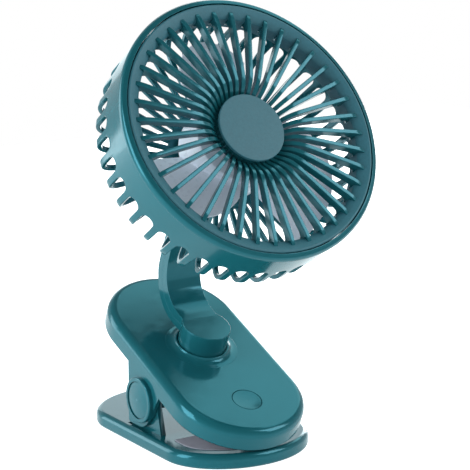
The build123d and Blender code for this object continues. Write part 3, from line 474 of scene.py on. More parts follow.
def apply_modifier(piece, kind, **settings):
    """Add a modifier with its settings and apply it."""
    select_only(piece)
    modifier = piece.modifiers.new(kind.lower(), kind)
    for setting, value in settings.items():
        setattr(modifier, setting, value)
    bpy.ops.object.modifier_apply(modifier=modifier.name)


def take_away(piece, cutter):
    """Cut the shape of one piece out of another."""
    apply_modifier(piece, "BOOLEAN", object=cutter, operation="DIFFERENCE", solver="EXACT")
    bpy.data.objects.remove(cutter)


def shade(piece):
    """Shade curved faces smooth, and keep the large flat ones flat."""
    select_only(piece)
    bpy.ops.object.shade_smooth_by_angle(angle=SMOOTH_ANGLE)
    apply_modifier(piece, "WEIGHTED_NORMAL", keep_sharp=True)


def soften(piece, width, segments=3, angle=35):
    """Round every edge sharper than an angle in degrees, and shade the piece."""
    apply_modifier(piece, "BEVEL", width=width * MM, segments=segments, limit_method="ANGLE",
                   angle_limit=radians(angle))
    shade(piece)


def join_pieces(pieces, name):
    """Make one object of several."""
    select_only(*pieces)
    bpy.ops.object.join()
    piece = bpy.context.object
    piece.name = name
    return piece


def repeat_round(piece, count, start=0.0):
    """Copy a piece round the upright axis, each copy with its own mesh, and join them all."""
    copies = [piece]
    for _ in range(count - 1):
        select_only(piece)
        bpy.ops.object.duplicate(linked=False)
        copies.append(bpy.context.object)
    for index, copy in enumerate(copies):
        copy.rotation_euler = (0, 0, start + index * 2 * pi / count)
    select_only(*copies)
    bpy.ops.object.transform_apply(location=False, rotation=True, scale=False)
    return join_pieces(copies, piece.name)


def settle(piece, place):
    """Move a piece from its own axes to its place, and apply the move to its mesh."""
    piece.matrix_world = place
    select_only(piece)
    bpy.ops.object.transform_apply(location=True, rotation=True, scale=True)


def hand_over(piece, slot, body, *nodes):
    """Give a finished piece its finish and its body if it has only one, and hide the nodes that it stands
    for.
    """
    piece.data.name = piece.name
    piece.data.materials.clear()
    piece.data.materials.append(finish_of(slot))
    if body:
        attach(piece, body)
    if nodes:
        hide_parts(*nodes)


# ---- Head: drawn as if it faced straight up, with heights W along its axis ----

X_AXIS = Vector((1, 0, 0))
HEAD_ELEVATION = radians(33.7)
HEAD_CENTRE = Vector((0, -47.7, 169.3)) * MM
HEAD_FORWARD = Vector((0, -cos(HEAD_ELEVATION), sin(HEAD_ELEVATION)))
HEAD_UP = Vector((0, sin(HEAD_ELEVATION), cos(HEAD_ELEVATION)))
HEAD_PLACE = axes_at(HEAD_CENTRE, X_AXIS, HEAD_UP, HEAD_FORWARD)

# the guard's outer skin: the band from its front to its rear, as (radius, height), and a round corner
BAND_FRONT = (70.3, -1.0)
BAND_MIDDLE_W = -8.0        # where the band has a middle row of points
BAND_REAR = (69.7, -28.7)
CORNER_R = 10.5
REAR_W = -39.2
GUARD_WALL = 2.2
# a slot's arch, straight sides and inner end
SLOT_APEX_W = -17.6
SLOT_APEX_MARGIN = 1.6      # from the arches' tops to the next row of points
SLOT_TURN_R = 64.0          # inside this radius the slots narrow
SLOT_INNER = (26.5, 0.95)   # radius where a slot ends, and half its width there
RIB_OVERLAP = 0.5           # how far a rib runs on past the slots' inner ends
# faces along half an arch and across a rib, then from the rear to the front of the band, and along a rib's
# side, corner and rear
ARCH_STEPS = 7
RIB_COLUMNS = 4
BAND_ROWS = 3
SIDE_ROWS, CORNER_ROWS, REAR_ROWS = 3, 9, 7
RIM_SIDE = ((67.95, 2.5), (70.1, 1.9), (71.0, 0.6), (71.0, -1.5), (70.3, -1.9), (69.0, -2.6), (67.95, -6.1))
REAR_PLATE_SIDE = ((0, -39.3), (27.2, -39.3), (27.2, -36.9), (9.0, -36.9), (9.0, -33.5), (0, -33.5))
# the tilt hinge's lugs
LUG_X = 7.6
LUG_THICKNESS = 4.0
LUG_R = 7.5
LUG_ROOT = (8.5, 0.3)       # half the root's length, and how deep it goes into the rear face
LUG_REACH = 9.0             # from the rear face to the hinge's axis
LUG_TURN = radians(95.8)    # where the lug's round starts, from straight forward


def band_radius(height):
    """The guard's radius on its side, at a height."""
    share = (BAND_FRONT[1] - height) / (BAND_FRONT[1] - BAND_REAR[1])
    return BAND_FRONT[0] + share * (BAND_REAR[0] - BAND_FRONT[0])


def on_guard(radius, angle, height):
    """A point of the guard in metres, at an angle from the rib's middle."""
    return Vector((radius * cos(angle), radius * sin(angle), height)) * MM


class FAN_OT_rear_guard(bpy.types.Operator):
    """Model the rear shell: the band, its forty looped ribs, the rear plate and the lugs of the hinge"""

    bl_idname = "fan.rear_guard"
    bl_label = "Rear guard"

    def execute(self, context):
        settings = context.scene.fan_head
        half_pitch = pi / settings.rib_count
        half_slot = settings.slot_width / MM / 2
        arch_w = SLOT_APEX_W - half_slot
        arch_r = band_radius(arch_w)
        rib_half = half_pitch - asin(half_slot / arch_r)

        def arch_place(column, row):
            """The band over one rib, down to the two half arches beside it."""
            last = 2 * ARCH_STEPS + RIB_COLUMNS
            side = -1 if column <= ARCH_STEPS else 1
            from_apex = min(column, last - column)
            if from_apex <= ARCH_STEPS:
                turn = pi / 2 * (1 - from_apex / ARCH_STEPS)
                angle = side * (half_pitch - asin(half_slot * cos(turn) / arch_r))
                edge_w = arch_w + half_slot * sin(turn)
            else:
                angle = rib_half * (2 * (column - ARCH_STEPS) / RIB_COLUMNS - 1)
                edge_w = arch_w
            height = (edge_w, SLOT_APEX_W + SLOT_APEX_MARGIN, BAND_MIDDLE_W, BAND_FRONT[1])[row]
            return on_guard(band_radius(height), angle, height)

        def rib_angle(column, radius):
            """How far that column of a rib is from the rib's middle."""
            slot = half_slot
            if radius < SLOT_TURN_R:
                share = (radius - SLOT_INNER[0]) / (SLOT_TURN_R - SLOT_INNER[0])
                slot = SLOT_INNER[1] + share * (half_slot - SLOT_INNER[1])
            half = half_pitch - asin(slot / radius)
            return half * (2 * column / RIB_COLUMNS - 1)

        def rib_place(column, row):
            """One rib, from the arches round the corner to the rear plate."""
            if row <= SIDE_ROWS:
                height = arch_w + (BAND_REAR[1] - arch_w) * row / SIDE_ROWS
                radius = band_radius(height)
            elif row <= SIDE_ROWS + CORNER_ROWS:
                turn = pi / 2 * (row - SIDE_ROWS) / CORNER_ROWS
                radius = BAND_REAR[0] - CORNER_R * (1 - cos(turn))
                height = BAND_REAR[1] - CORNER_R * sin(turn)
            else:
                share = (row - SIDE_ROWS - CORNER_ROWS) / REAR_ROWS
                radius = BAND_REAR[0] - CORNER_R
                radius += (SLOT_INNER[0] - RIB_OVERLAP - radius) * share
                height = REAR_W
            return on_guard(radius, rib_angle(column, radius), height)

        arch = bend_grid("rear_guard", 2 * ARCH_STEPS + RIB_COLUMNS, BAND_ROWS, arch_place)
        rib = bend_grid("rib", RIB_COLUMNS, SIDE_ROWS + CORNER_ROWS + REAR_ROWS, rib_place)
        bay = join_pieces([arch, rib], "rear_guard")
        guard = repeat_round(bay, settings.rib_count, settings.slot_start + half_pitch)
        clean_piece(guard)
        apply_modifier(guard, "SOLIDIFY", thickness=GUARD_WALL * MM, offset=-1)
        soften(guard, width=0.65, angle=50)

        rim = lathe("rim", RIM_SIDE, steps=200, ring=True)
        soften(rim, width=0.25, segments=2)
        plate = lathe("plate", REAR_PLATE_SIDE)
        soften(plate, width=0.5)
        lugs = [self.lug(side) for side in (-1, 1)]
        guard = join_pieces([guard, rim, plate] + lugs, "rear_guard")
        settle(guard, HEAD_PLACE)
        hand_over(guard, "shell", "head", "rear_shell")
        return {"FINISHED"}

    def lug(self, side):
        """One lug of the tilt hinge, from the rear plate round the hinge's axis."""
        half_root, sink = LUG_ROOT
        root_w = REAR_W + sink
        # the round is drawn as points (height, Y)
        end = arc((REAR_W - LUG_REACH, 0), (LUG_R, LUG_R), LUG_TURN, 2 * pi - LUG_TURN, steps=18)
        outline = [(half_root, root_w)] + [(y, height) for height, y in end] + [(-half_root, root_w)]
        lug = side_slab("lug", outline, LUG_THICKNESS)
        settle(lug, Matrix.Translation((side * LUG_X * MM, 0, 0)))
        soften(lug, width=0.5)
        return lug


# the blade from above: its tip follows a circle, then a wide round turns it into the front edge
BLADE_COUNT = 3
BLADE_TIP_R = 59.0
BLADE_ROOT_R = 23.0
BLADE_REAR_TURN = radians(-35.0)
BLADE_TIP_TURN = radians(-14.4)     # where the tip's circle ends
BLADE_ROUND_TURN = radians(113.4)   # where the wide round ends
BLADE_ROOT_TURN = radians(44.0)     # where the root ends
BLADE_ROUND_R = 28.0
BLADE_ROUND_CENTRE = Vector((30.0, -7.7))
BLADE_TIP_SHARE = 0.3               # share of the columns that lie along the tip's circle
# it rises from a line along its rear edge, through the axis, to a line along its front
BLADE_REAR_SLOPE = -0.7
BLADE_FRONT_Y, BLADE_FRONT_SLOPE = 9.8, 0.432
# the height at the rear line, the rise to the front line, and the bow between them
BLADE_REAR_W, BLADE_RISE, BLADE_BOW = -32.3, 19.5, 10.4
BLADE_COLUMNS, BLADE_ROWS = 18, 14
IMPELLER_HUB_SIDE = ((0, -12.0), (24.0, -12.0), (24.0, -33.5), (22.2, -33.5), (22.2, -14.2), (4.5, -14.2),
                     (4.5, -16.5), (0, -16.5))


def on_circle(radius, turn):
    """A point of a circle round the origin."""
    return Vector((radius * cos(turn), radius * sin(turn)))


def blade_edge(share):
    """A point of the blade's far edge, from the rear edge's end to the front edge."""
    if share < BLADE_TIP_SHARE:
        along = share / BLADE_TIP_SHARE
        return on_circle(BLADE_TIP_R, BLADE_REAR_TURN + (BLADE_TIP_TURN - BLADE_REAR_TURN) * along)
    along = (share - BLADE_TIP_SHARE) / (1 - BLADE_TIP_SHARE)
    turn = BLADE_TIP_TURN + (BLADE_ROUND_TURN - BLADE_TIP_TURN) * along
    return BLADE_ROUND_CENTRE + on_circle(BLADE_ROUND_R, turn)


def blade_place(column, row):
    """A point of the blade's middle sheet."""
    share = column / BLADE_COLUMNS
    root = on_circle(BLADE_ROOT_R, BLADE_REAR_TURN + (BLADE_ROOT_TURN - BLADE_REAR_TURN) * share)
    point = root.lerp(blade_edge(share), row / BLADE_ROWS)
    rear_y = BLADE_REAR_SLOPE * point.x
    chord = (point.y - rear_y) / (BLADE_FRONT_Y + BLADE_FRONT_SLOPE * point.x - rear_y)
    height = BLADE_REAR_W + BLADE_RISE * chord + BLADE_BOW * chord * (1 - chord)
    return Vector((point.x, point.y, height)) * MM


class FAN_OT_impeller(bpy.types.Operator):
    """Model the impeller: three curved paddles on a cup-shaped hub"""

    bl_idname = "fan.impeller"
    bl_label = "Impeller"

    def execute(self, context):
        settings = context.scene.fan_head
        blade = bend_grid("impeller_blades", BLADE_COLUMNS, BLADE_ROWS, blade_place)
        apply_modifier(blade, "SOLIDIFY", thickness=settings.blade_thickness, offset=0)
        soften(blade, width=0.5, angle=50)
        blades = repeat_round(blade, BLADE_COUNT, settings.blade_start)
        hub = lathe("hub", IMPELLER_HUB_SIDE, steps=128)
        soften(hub, width=0.8)
        impeller = join_pieces([blades, hub], "impeller_blades")
        clean_piece(impeller)
        settle(impeller, HEAD_PLACE)
        hand_over(impeller, "impeller", "fan", "impeller")
        return {"FINISHED"}


# side view of a spoke from the hub outwards and back again, as points (radius, height)
SPOKE_FRONT = (
    (16.8, -3.9), (18.3, -3.5), (19.8, -2.3), (21.4, -0.8), (23.4, 0.7), (26.0, 1.9), (29.5, 2.5),
    (34.0, 2.6), (47.0, 2.6), (59.0, 2.6), (61.4, 2.35), (63.4, 1.75), (65.0, 0.7),
)
SPOKE_REAR = (
    (62.4, -1.3), (61.6, -7.4), (60.7, -7.4), (60.2, -4.4), (59.0, -2.6), (57.0, -1.9), (46.0, -1.8),
    (33.0, -1.8), (28.5, -2.2), (25.0, -3.5), (21.5, -5.9), (19.0, -7.6), (16.8, -7.6),
)
RING_SIDE = ((67.45, 2.1), (66.9, 2.6), (66.3, 2.6), (62.0, 0.7), (60.6, -0.6), (60.4, -8.0), (62.0, -8.0),
             (62.2, -1.4), (66.3, 0.3), (66.3, -6.1), (67.45, -6.1))
HUB_PLATE_SIDE = ((0, -8.0), (17.4, -8.0), (17.4, -1.2), (0, -1.2))
HUB_CAP_SIDE = ((0, 0.8), (18.1, 0.8), (18.1, -0.9), (17.5, -1.2), (0, -1.2))


class FAN_OT_front_grille(bpy.types.Operator):
    """Model the front grille: forty curved spokes, the ring round them and the plate behind the hub cap"""

    bl_idname = "fan.front_grille"
    bl_label = "Front grille"

    def execute(self, context):
        settings = context.scene.fan_head
        outline = [(radius, 0, height) for radius, height in SPOKE_FRONT + SPOKE_REAR]
        spoke = cut_out("grille_spokes", outline, (0, settings.spoke_width / MM, 0))
        soften(spoke, width=0.32, angle=50)
        spokes = repeat_round(spoke, settings.spoke_count)
        plate = lathe("hub_plate", HUB_PLATE_SIDE)
        soften(plate, width=0.4)
        spokes = join_pieces([spokes, plate], "grille_spokes")
        settle(spokes, HEAD_PLACE)
        hand_over(spokes, "shell", "head", "front_grille")

        ring = lathe("grille_ring", RING_SIDE, steps=200, ring=True)
        soften(ring, width=0.3, segments=2)
        settle(ring, HEAD_PLACE)
        hand_over(ring, "cap", "head", "front_grille")
        return {"FINISHED"}


class FAN_OT_hub_cap(bpy.types.Operator):
    """Model the hub cap: a flat disc with a small round along its edge"""

    bl_idname = "fan.hub_cap"
    bl_label = "Hub cap"

    def execute(self, context):
        cap = lathe("hub_cap_disc", HUB_CAP_SIDE, steps=128)
        soften(cap, width=0.4)
        settle(cap, HEAD_PLACE)
        hand_over(cap, "cap", "head", "hub_cap")
        return {"FINISHED"}


# ---- Swivel arm: its knob and the flange stand square to the housing's top, with heights W over it ----

SWIVEL_TILT = radians(23.2)
SWIVEL_CENTRE = Vector((0, -1.103, 47.527)) * MM
SWIVEL_UP = Vector((0, -sin(SWIVEL_TILT), cos(SWIVEL_TILT)))
SWIVEL_REAR = Vector((0, cos(SWIVEL_TILT), sin(SWIVEL_TILT)))
SWIVEL_PLACE = axes_at(SWIVEL_CENTRE, X_AXIS, SWIVEL_REAR, SWIVEL_UP)
KNOB_SIDE = ((0, 0.2), (12.9, 0.2), (12.9, 13.0), (0, 13.0))
STUB_SIDE = ((0, 0.4), (6.0, 0.4), (6.0, -4.1), (0, -4.1))
# side view of the arm, as points (Y, Z) from the knob to the eye
ARM_OUTER = ((4.0, 55.7), (13.0, 59.7), (19.4, 64.8), (23.5, 71.9), (24.9, 80.7), (23.0, 91.0), (11.6, 115.5),
             (-0.6, 133.3), (-4.2, 139.0))
ARM_SEAM = ((2.0, 59.3), (10.9, 62.9), (16.2, 67.2), (19.6, 73.5), (20.7, 81.2), (18.6, 91.2), (8.2, 113.9),
            (-3.2, 131.3), (-7.2, 138.0))
ARM_INNER = ((-7.2, 59.6), (0.2, 62.8), (7.6, 66.5), (12.6, 71.0), (15.4, 76.8), (16.0, 83.4), (13.6, 93.2),
             (4.5, 112.0), (-6.6, 129.0), (-11.0, 136.0))
ARM_WIDTH = 20.8
ARM_END_STEPS = 6
# where the arm's root meets the knob, just inside both of their outlines
NECK_R = 12.88
NECK_HALF_WIDTH = ARM_WIDTH / 2 - 0.03
NECK_HOLLOW_R = 3.5
NECK_REACH = 15.5
NECK_HEIGHTS = (9.9, 13.5)
# the tilt hinge's eye, in its side view
TILT_AXIS = Vector((-7.60, 142.56))
LUG_CLEARANCE = 9.7         # how far the arm's halves keep from the hinge's axis
EYE_ROOT = Vector((-4.1, 132.5))
EYE_R, EYE_ROOT_R = 7.0, 3.4
EYE_WIDTH = 10.0
# the flange round the knob's foot, from the gap at the knob to where it runs out on the housing
COLLAR_INNER_R, COLLAR_TOP_R, COLLAR_OUTER_R = 13.35, 14.3, 19.5
COLLAR_TOP_W, COLLAR_EDGE_W, COLLAR_FOOT_W = 2.3, 0.05, -0.6


def smooth_through(points, steps=7):
    """Points of a smooth curve that passes through these points."""
    places = [Vector(point) for point in points]
    places = [2 * places[0] - places[1]] + places + [2 * places[-1] - places[-2]]
    curve = []
    for before, start, end, after in zip(places, places[1:], places[2:], places[3:]):
        for step in range(steps):
            share = step / steps
            bow = (2 * before - 5 * start + 4 * end - after) * share**2
            twist = (3 * start - before - 3 * end + after) * share**3
            curve.append((2 * start + (end - before) * share + bow + twist) / 2)
    curve.append(places[-2])
    return curve


def clear_of_lugs(curve):
    """The part of an arm curve that lies outside the lugs' reach, and the point where it enters it."""
    kept = [point for point in curve if (point - TILT_AXIS).length > LUG_CLEARANCE]
    entry = curve[len(kept)]
    inside = LUG_CLEARANCE - (entry - TILT_AXIS).length
    span = (kept[-1] - TILT_AXIS).length - (entry - TILT_AXIS).length
    return kept + [entry.lerp(kept[-1], inside / span)]


def arm_half(name, first, second):
    """One moulded half of the arm, between two curves of its side view."""
    near = clear_of_lugs(smooth_through(first))
    far = clear_of_lugs(smooth_through(second))
    end = []
    for step in range(1, ARM_END_STEPS):
        offset = near[-1].lerp(far[-1], step / ARM_END_STEPS) - TILT_AXIS
        end.append(TILT_AXIS + offset.normalized() * LUG_CLEARANCE)
    return side_slab(name, near + end + far[::-1], ARM_WIDTH)


class FAN_OT_swivel_arm(bpy.types.Operator):
    """Model the swivel arm: a flat round knob, the curved arm in two halves and the eye of the tilt hinge"""

    bl_idname = "fan.swivel_arm"
    bl_label = "Swivel arm"

    def execute(self, context):
        cover = arm_half("arm_cover", ARM_OUTER, ARM_SEAM)
        soften(cover, width=0.45, angle=40)
        hand_over(cover, "shell", "arm", "arm_back_cover")

        inner = arm_half("swivel_arm", ARM_SEAM, ARM_INNER)
        soften(inner, width=0.35, angle=40)
        knob = lathe("knob", KNOB_SIDE, steps=128)
        neck = flat_slab("neck", self.neck_plan(), NECK_HEIGHTS)
        for part in (knob, neck):
            soften(part, width=0.4, angle=40)
            settle(part, SWIVEL_PLACE)
        stub = lathe("stub", STUB_SIDE, steps=64)
        soften(stub, width=0.3)
        settle(stub, SWIVEL_PLACE)
        arm = join_pieces([inner, knob, neck, self.eye(), stub], "swivel_arm")
        hand_over(arm, "shell", "arm", "support_arm")
        return {"FINISHED"}

    def neck_plan(self):
        """The knob and the root of the arm from above, with hollow corners between them."""
        corner_x = NECK_HALF_WIDTH + NECK_HOLLOW_R
        corner = Vector((corner_x, ((NECK_R + NECK_HOLLOW_R)**2 - corner_x**2)**0.5))
        start = corner.angle_signed(Vector((1, 0)))
        half = arc((0, 0), (NECK_R, NECK_R), -pi / 2, start, steps=32)
        half += arc(corner, (NECK_HOLLOW_R, NECK_HOLLOW_R), start + pi, pi, steps=6)[1:]
        half.append((NECK_HALF_WIDTH, NECK_REACH))
        return half + [(-x, y) for x, y in reversed(half[1:])]

    def eye(self):
        """The eye of the tilt hinge and its neck."""
        along = (TILT_AXIS - EYE_ROOT).normalized()
        lean = acos((EYE_R - EYE_ROOT_R) / (TILT_AXIS - EYE_ROOT).length)
        heading = along.angle_signed(Vector((1, 0)))
        round_half = pi - lean
        outline = arc(TILT_AXIS, (EYE_R, EYE_R), heading - round_half, heading + round_half, steps=24)
        outline += arc(EYE_ROOT, (EYE_ROOT_R, EYE_ROOT_R), heading + round_half, heading + pi + lean, steps=8)
        eye = side_slab("eye", outline, EYE_WIDTH)
        soften(eye, width=0.5, angle=40)
        return eye


class FAN_OT_collar(bpy.types.Operator):
    """Model the soft flange round the knob's foot"""

    bl_idname = "fan.collar"
    bl_label = "Collar"

    def execute(self, context):
        flank = [(COLLAR_INNER_R, COLLAR_FOOT_W), (COLLAR_INNER_R, COLLAR_TOP_W)]
        spread = (COLLAR_TOP_R - COLLAR_OUTER_R, COLLAR_EDGE_W - COLLAR_TOP_W)
        flank += arc((COLLAR_OUTER_R, COLLAR_TOP_W), spread, 0, pi / 2, steps=8)
        flank.append((COLLAR_OUTER_R, COLLAR_FOOT_W))
        collar = lathe("knob_collar", flank, steps=128, ring=True)
        soften(collar, width=0.5)
        settle(collar, SWIVEL_PLACE)
        hand_over(collar, "shell", "clip")
        return {"FINISHED"}


# ---- Lower jaw ----

# a plan's half width, where its elliptic ends start, and how deep they are
JAW_PLAN = (41.1, 31.8, 33.0)
BASE_SEAT_PLAN = (37.6, 34.8, 26.6)
PAD_SEAT_PLAN = (32.1, 34.8, 21.0)
PAD_SEAT_REAR = -25.3
# lowest and highest points of the tray and of what is cut from it
JAW_HEIGHTS = (0.1, 7.8)
BASE_SEAT_HEIGHTS = (-2.0, 3.0)
PAD_SEAT_HEIGHTS = (7.1, 11.1)
FOOT_SLOT_HEIGHTS = (4.0, 9.0)
FOOT_SLOT_X = (33.9, 36.6)
FOOT_SLOT_Y = (-6.5, 13.6)
JAW_TOP_ROUND, JAW_LOW_ROUND = 3.2, 1.8
SAME_HEIGHT = 0.01          # points this close to a height lie on it
EAR_CUT_Z = JAW_HEIGHTS[1] + 0.02   # just above the tray
EAR_CUT_GAP = 0.001         # points this close to the cut lie on it
EAR_SINK = 0.5              # how far the ears are sunk into the tray


def round_ended(plan, steps=48):
    """Points round a plan with straight sides and elliptic ends."""
    half_width, end_y, depth = plan
    points = []
    for side in (1, -1):
        points += arc((0, side * end_y), (side * half_width, side * depth), 0, pi, steps)
    return points


def round_rim(piece, height, width, segments):
    """Round the edges of a slab that lie at one height."""
    select_only(piece)
    for vertex in piece.data.vertices:
        vertex.select = abs(vertex.co.z - height * MM) < SAME_HEIGHT * MM
    for edge in piece.data.edges:
        edge.select = all(piece.data.vertices[index].select for index in edge.vertices)
    for face in piece.data.polygons:
        face.select = False
    bpy.ops.object.mode_set(mode="EDIT")
    bpy.ops.mesh.select_mode(type="EDGE")
    bpy.ops.mesh.bevel(offset=width * MM, segments=segments, affect="EDGES")
    bpy.ops.mesh.select_mode(type="VERT")
    bpy.ops.object.mode_set(mode="OBJECT")


class FAN_OT_lower_jaw(bpy.types.Operator):
    """Model the lower jaw: a tray with well rounded edges, its seats and slots, and the ears of the hinge"""

    bl_idname = "fan.lower_jaw"
    bl_label = "Lower jaw"

    def execute(self, context):
        tray = flat_slab("jaw_shell", round_ended(JAW_PLAN), JAW_HEIGHTS)
        round_rim(tray, JAW_HEIGHTS[1], JAW_TOP_ROUND, segments=8)
        round_rim(tray, JAW_HEIGHTS[0], JAW_LOW_ROUND, segments=6)
        take_away(tray, flat_slab("base_seat", round_ended(BASE_SEAT_PLAN), BASE_SEAT_HEIGHTS))
        half_width = PAD_SEAT_PLAN[0]
        pad_seat = [(x, y) for x, y in round_ended(PAD_SEAT_PLAN) if y < PAD_SEAT_REAR]
        pad_seat = [(-half_width, PAD_SEAT_REAR)] + pad_seat + [(half_width, PAD_SEAT_REAR)]
        take_away(tray, flat_slab("pad_seat", pad_seat, PAD_SEAT_HEIGHTS))
        inner, outer = FOOT_SLOT_X
        front, rear = FOOT_SLOT_Y
        for side in (-1, 1):
            slot = [(side * inner, front), (side * outer, front), (side * outer, rear), (side * inner, rear)]
            take_away(tray, flat_slab("foot_slot", slot, FOOT_SLOT_HEIGHTS))
        jaw = join_pieces([tray, self.ears()], "jaw_shell")
        shade(jaw)
        hand_over(jaw, "shell", "base", "lower_jaw")
        return {"FINISHED"}

    def ears(self):
        """The hinge's ears and bosses, cut from a copy of the solid above the tray."""
        select_only(frame["nodes"]["lower_jaw"])
        bpy.ops.object.duplicate(linked=False)
        ears = bpy.context.object
        bpy.ops.object.transform_apply(location=True, rotation=True, scale=True)
        bpy.ops.object.mode_set(mode="EDIT")
        clean_mesh()
        bpy.ops.mesh.bisect(plane_co=(0, 0, EAR_CUT_Z * MM), plane_no=(0, 0, 1), use_fill=True,
                            clear_inner=True, threshold=EAR_CUT_GAP * MM)
        bpy.ops.transform.translate(value=(0, 0, -EAR_SINK * MM))
        bpy.ops.object.mode_set(mode="OBJECT")
        return ears


# ---- Clamp springs ----

PIVOT_Z = 23.7
SPRING_COIL_R = 5.5
SPRING_WIRE_R = 0.9
SPRING_START = radians(124.3)   # where the leg under the cover leaves the coil
SPRING_TURNS = 3.345
SPRING_PITCH = 2.2
SPRING_INNER_X = 19.0
SPRING_LEG = 24.0
SPRING_STEPS = 96


def on_spring(share):
    """A point of the right-hand coil, and the wire's own direction there."""
    turns = SPRING_TURNS * share
    turn = SPRING_START + 2 * pi * turns
    place = Vector((SPRING_INNER_X + SPRING_PITCH * turns, SPRING_COIL_R * cos(turn),
                    PIVOT_Z + SPRING_COIL_R * sin(turn)))
    along = Vector((SPRING_PITCH / (2 * pi), -SPRING_COIL_R * sin(turn), SPRING_COIL_R * cos(turn)))
    return place, along.normalized()


class FAN_OT_clamp_springs(bpy.types.Operator):
    """Model the clamp springs, which wind up between the jaw and the housing as the clip opens"""

    bl_idname = "fan.clamp_springs"
    bl_label = "Clamp springs"

    def execute(self, context):
        coil = [on_spring(step / SPRING_STEPS) for step in range(SPRING_STEPS + 1)]
        upper_tip = coil[0][0] - SPRING_LEG * coil[0][1]
        lower_tip = coil[-1][0] + SPRING_LEG * coil[-1][1]
        springs = draw_line("spring_wires", [upper_tip] + [place for place, along in coil] + [lower_tip])
        select_only(springs)
        bpy.ops.object.convert(target="CURVE")
        springs.data.bevel_depth = SPRING_WIRE_R * MM
        springs.data.bevel_resolution = 4
        springs.data.use_fill_caps = True
        bpy.ops.object.convert(target="MESH")
        clean_piece(springs)
        apply_modifier(springs, "MIRROR")
        shade(springs)
        hand_over(springs, "steel", None, "clamp_springs")
        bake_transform(springs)
        return {"FINISHED"}


# ---- Studio and camera: places and sizes in metres ----

FLOOR_SIZE = 1.7
FLOOR_COLOUR = (0.86, 0.87, 0.88, 1)
FLOOR_SHINE = 0.45          # how much more the floor shines than it lights the fan
SURROUND_COLOUR = (0.95, 0.98, 1.0, 1)
SURROUND_FADE = (0.25, 0.65)    # the sines of the elevations between which it darkens
OVERHEAD_SHARE = 0.35       # what is left of it overhead
LAMP_AIM = (0, -0.01, 0.09)
WHITE = (1.0, 1.0, 1.0)
COOL_WHITE = (0.85, 0.97, 1.0)
PALE_TEAL = (0.45, 0.97, 1.0)
# name, place, width, height and colour; a lamp's power is the setting of its name
LAMPS = (
    ("front", (0.55, -0.52, 0.62), 0.45, 0.45, WHITE),
    ("low", (-0.45, 0.55, 0.25), 0.3, 0.5, WHITE),
    ("sweep", (0.58, 0.87, 0.20), 1.1, 0.55, COOL_WHITE),
    ("rim", (0.78, 0.58, 0.20), 0.3, 0.5, WHITE),
    ("left", (-0.75, 0.05, 0.30), 0.35, 0.7, COOL_WHITE),
)
REAR_PANEL_PLACE = (0.38, 0.27, 0.57)
# name, shift along the panel's own right and up, width, height and turn
REAR_PANELS = (
    ("rear_near", (-0.160, 0.0), 0.29, 0.6, 0.0),
    ("rear_far", (0.086, -0.013), 0.20, 0.12, 0.6435),
)

IMAGE_WIDTH = 470           # pixels of the square image
FOCAL_PIXELS = 1900
SENSOR_WIDTH = 36.0
CAMERA_AZIMUTH = radians(-33.5)
CAMERA_ELEVATION = radians(12.5)
CAMERA_DISTANCE = 0.980
CAMERA_TARGET = Vector((0, -0.0052, 0.110))
CAMERA_SLIDE = Vector((0.01541, -0.00243))  # along the image's own right and up


def soft_box(name, place, width, height, power, colour):
    """A rectangular lamp that faces the fan."""
    light = bpy.data.lights.new(name, "AREA")
    light.shape = "RECTANGLE"
    light.size = width
    light.size_y = height
    light.energy = power
    light.color = colour
    lamp = bpy.data.objects.new(name, light)
    bpy.context.collection.objects.link(lamp)
    lamp.location = place
    lamp.rotation_euler = (Vector(LAMP_AIM) - Vector(place)).to_track_quat("-Z", "Y").to_euler()
    return lamp


def white_studio(surround):
    """A plain white backdrop, darker overhead, that lights the fan less than it shines itself."""
    world = bpy.data.worlds.new("studio")
    world.use_nodes = True
    tree = world.node_tree
    dim = tree.nodes["Background"]
    set_sockets(dim, {"Color": SURROUND_COLOUR})
    place = tree.nodes.new("ShaderNodeTexCoord")
    height = tree.nodes.new("ShaderNodeSeparateXYZ")
    fade = tree.nodes.new("ShaderNodeMapRange")
    set_sockets(fade, {"From Min": SURROUND_FADE[0], "From Max": SURROUND_FADE[1],
                       "To Min": surround, "To Max": surround * OVERHEAD_SHARE})
    tree.links.new(place.outputs["Generated"], height.inputs["Vector"])
    tree.links.new(height.outputs["Z"], fade.inputs["Value"])
    tree.links.new(fade.outputs["Result"], dim.inputs["Strength"])
    backdrop = tree.nodes.new("ShaderNodeBackground")
    set_sockets(backdrop, {"Color": (1, 1, 1, 1)})
    ray = tree.nodes.new("ShaderNodeLightPath")
    mix = tree.nodes.new("ShaderNodeMixShader")
    tree.links.new(ray.outputs["Is Camera Ray"], mix.inputs["Fac"])
    tree.links.new(dim.outputs["Background"], mix.inputs[1])
    tree.links.new(backdrop.outputs["Background"], mix.inputs[2])
    tree.links.new(mix.outputs["Shader"], tree.nodes["World Output"].inputs["Surface"])
    return world


def place_camera():
    """The camera looks slightly down from the fan's left front."""
    back = Vector((
        sin(CAMERA_AZIMUTH) * cos(CAMERA_ELEVATION),
        -cos(CAMERA_AZIMUTH) * cos(CAMERA_ELEVATION),
        sin(CAMERA_ELEVATION),
    ))
    right = Vector((cos(CAMERA_AZIMUTH), sin(CAMERA_AZIMUTH), 0))
    up = back.cross(right)
    camera = bpy.data.cameras.new("camera")
    camera.sensor_width = SENSOR_WIDTH
    camera.lens = SENSOR_WIDTH * FOCAL_PIXELS / IMAGE_WIDTH
    holder = bpy.data.objects.new("camera", camera)
    bpy.context.collection.objects.link(holder)
    place = CAMERA_TARGET + back * CAMERA_DISTANCE + right * CAMERA_SLIDE.x + up * CAMERA_SLIDE.y
    holder.matrix_world = axes_at(place, right, up, back)
    bpy.context.scene.camera = holder


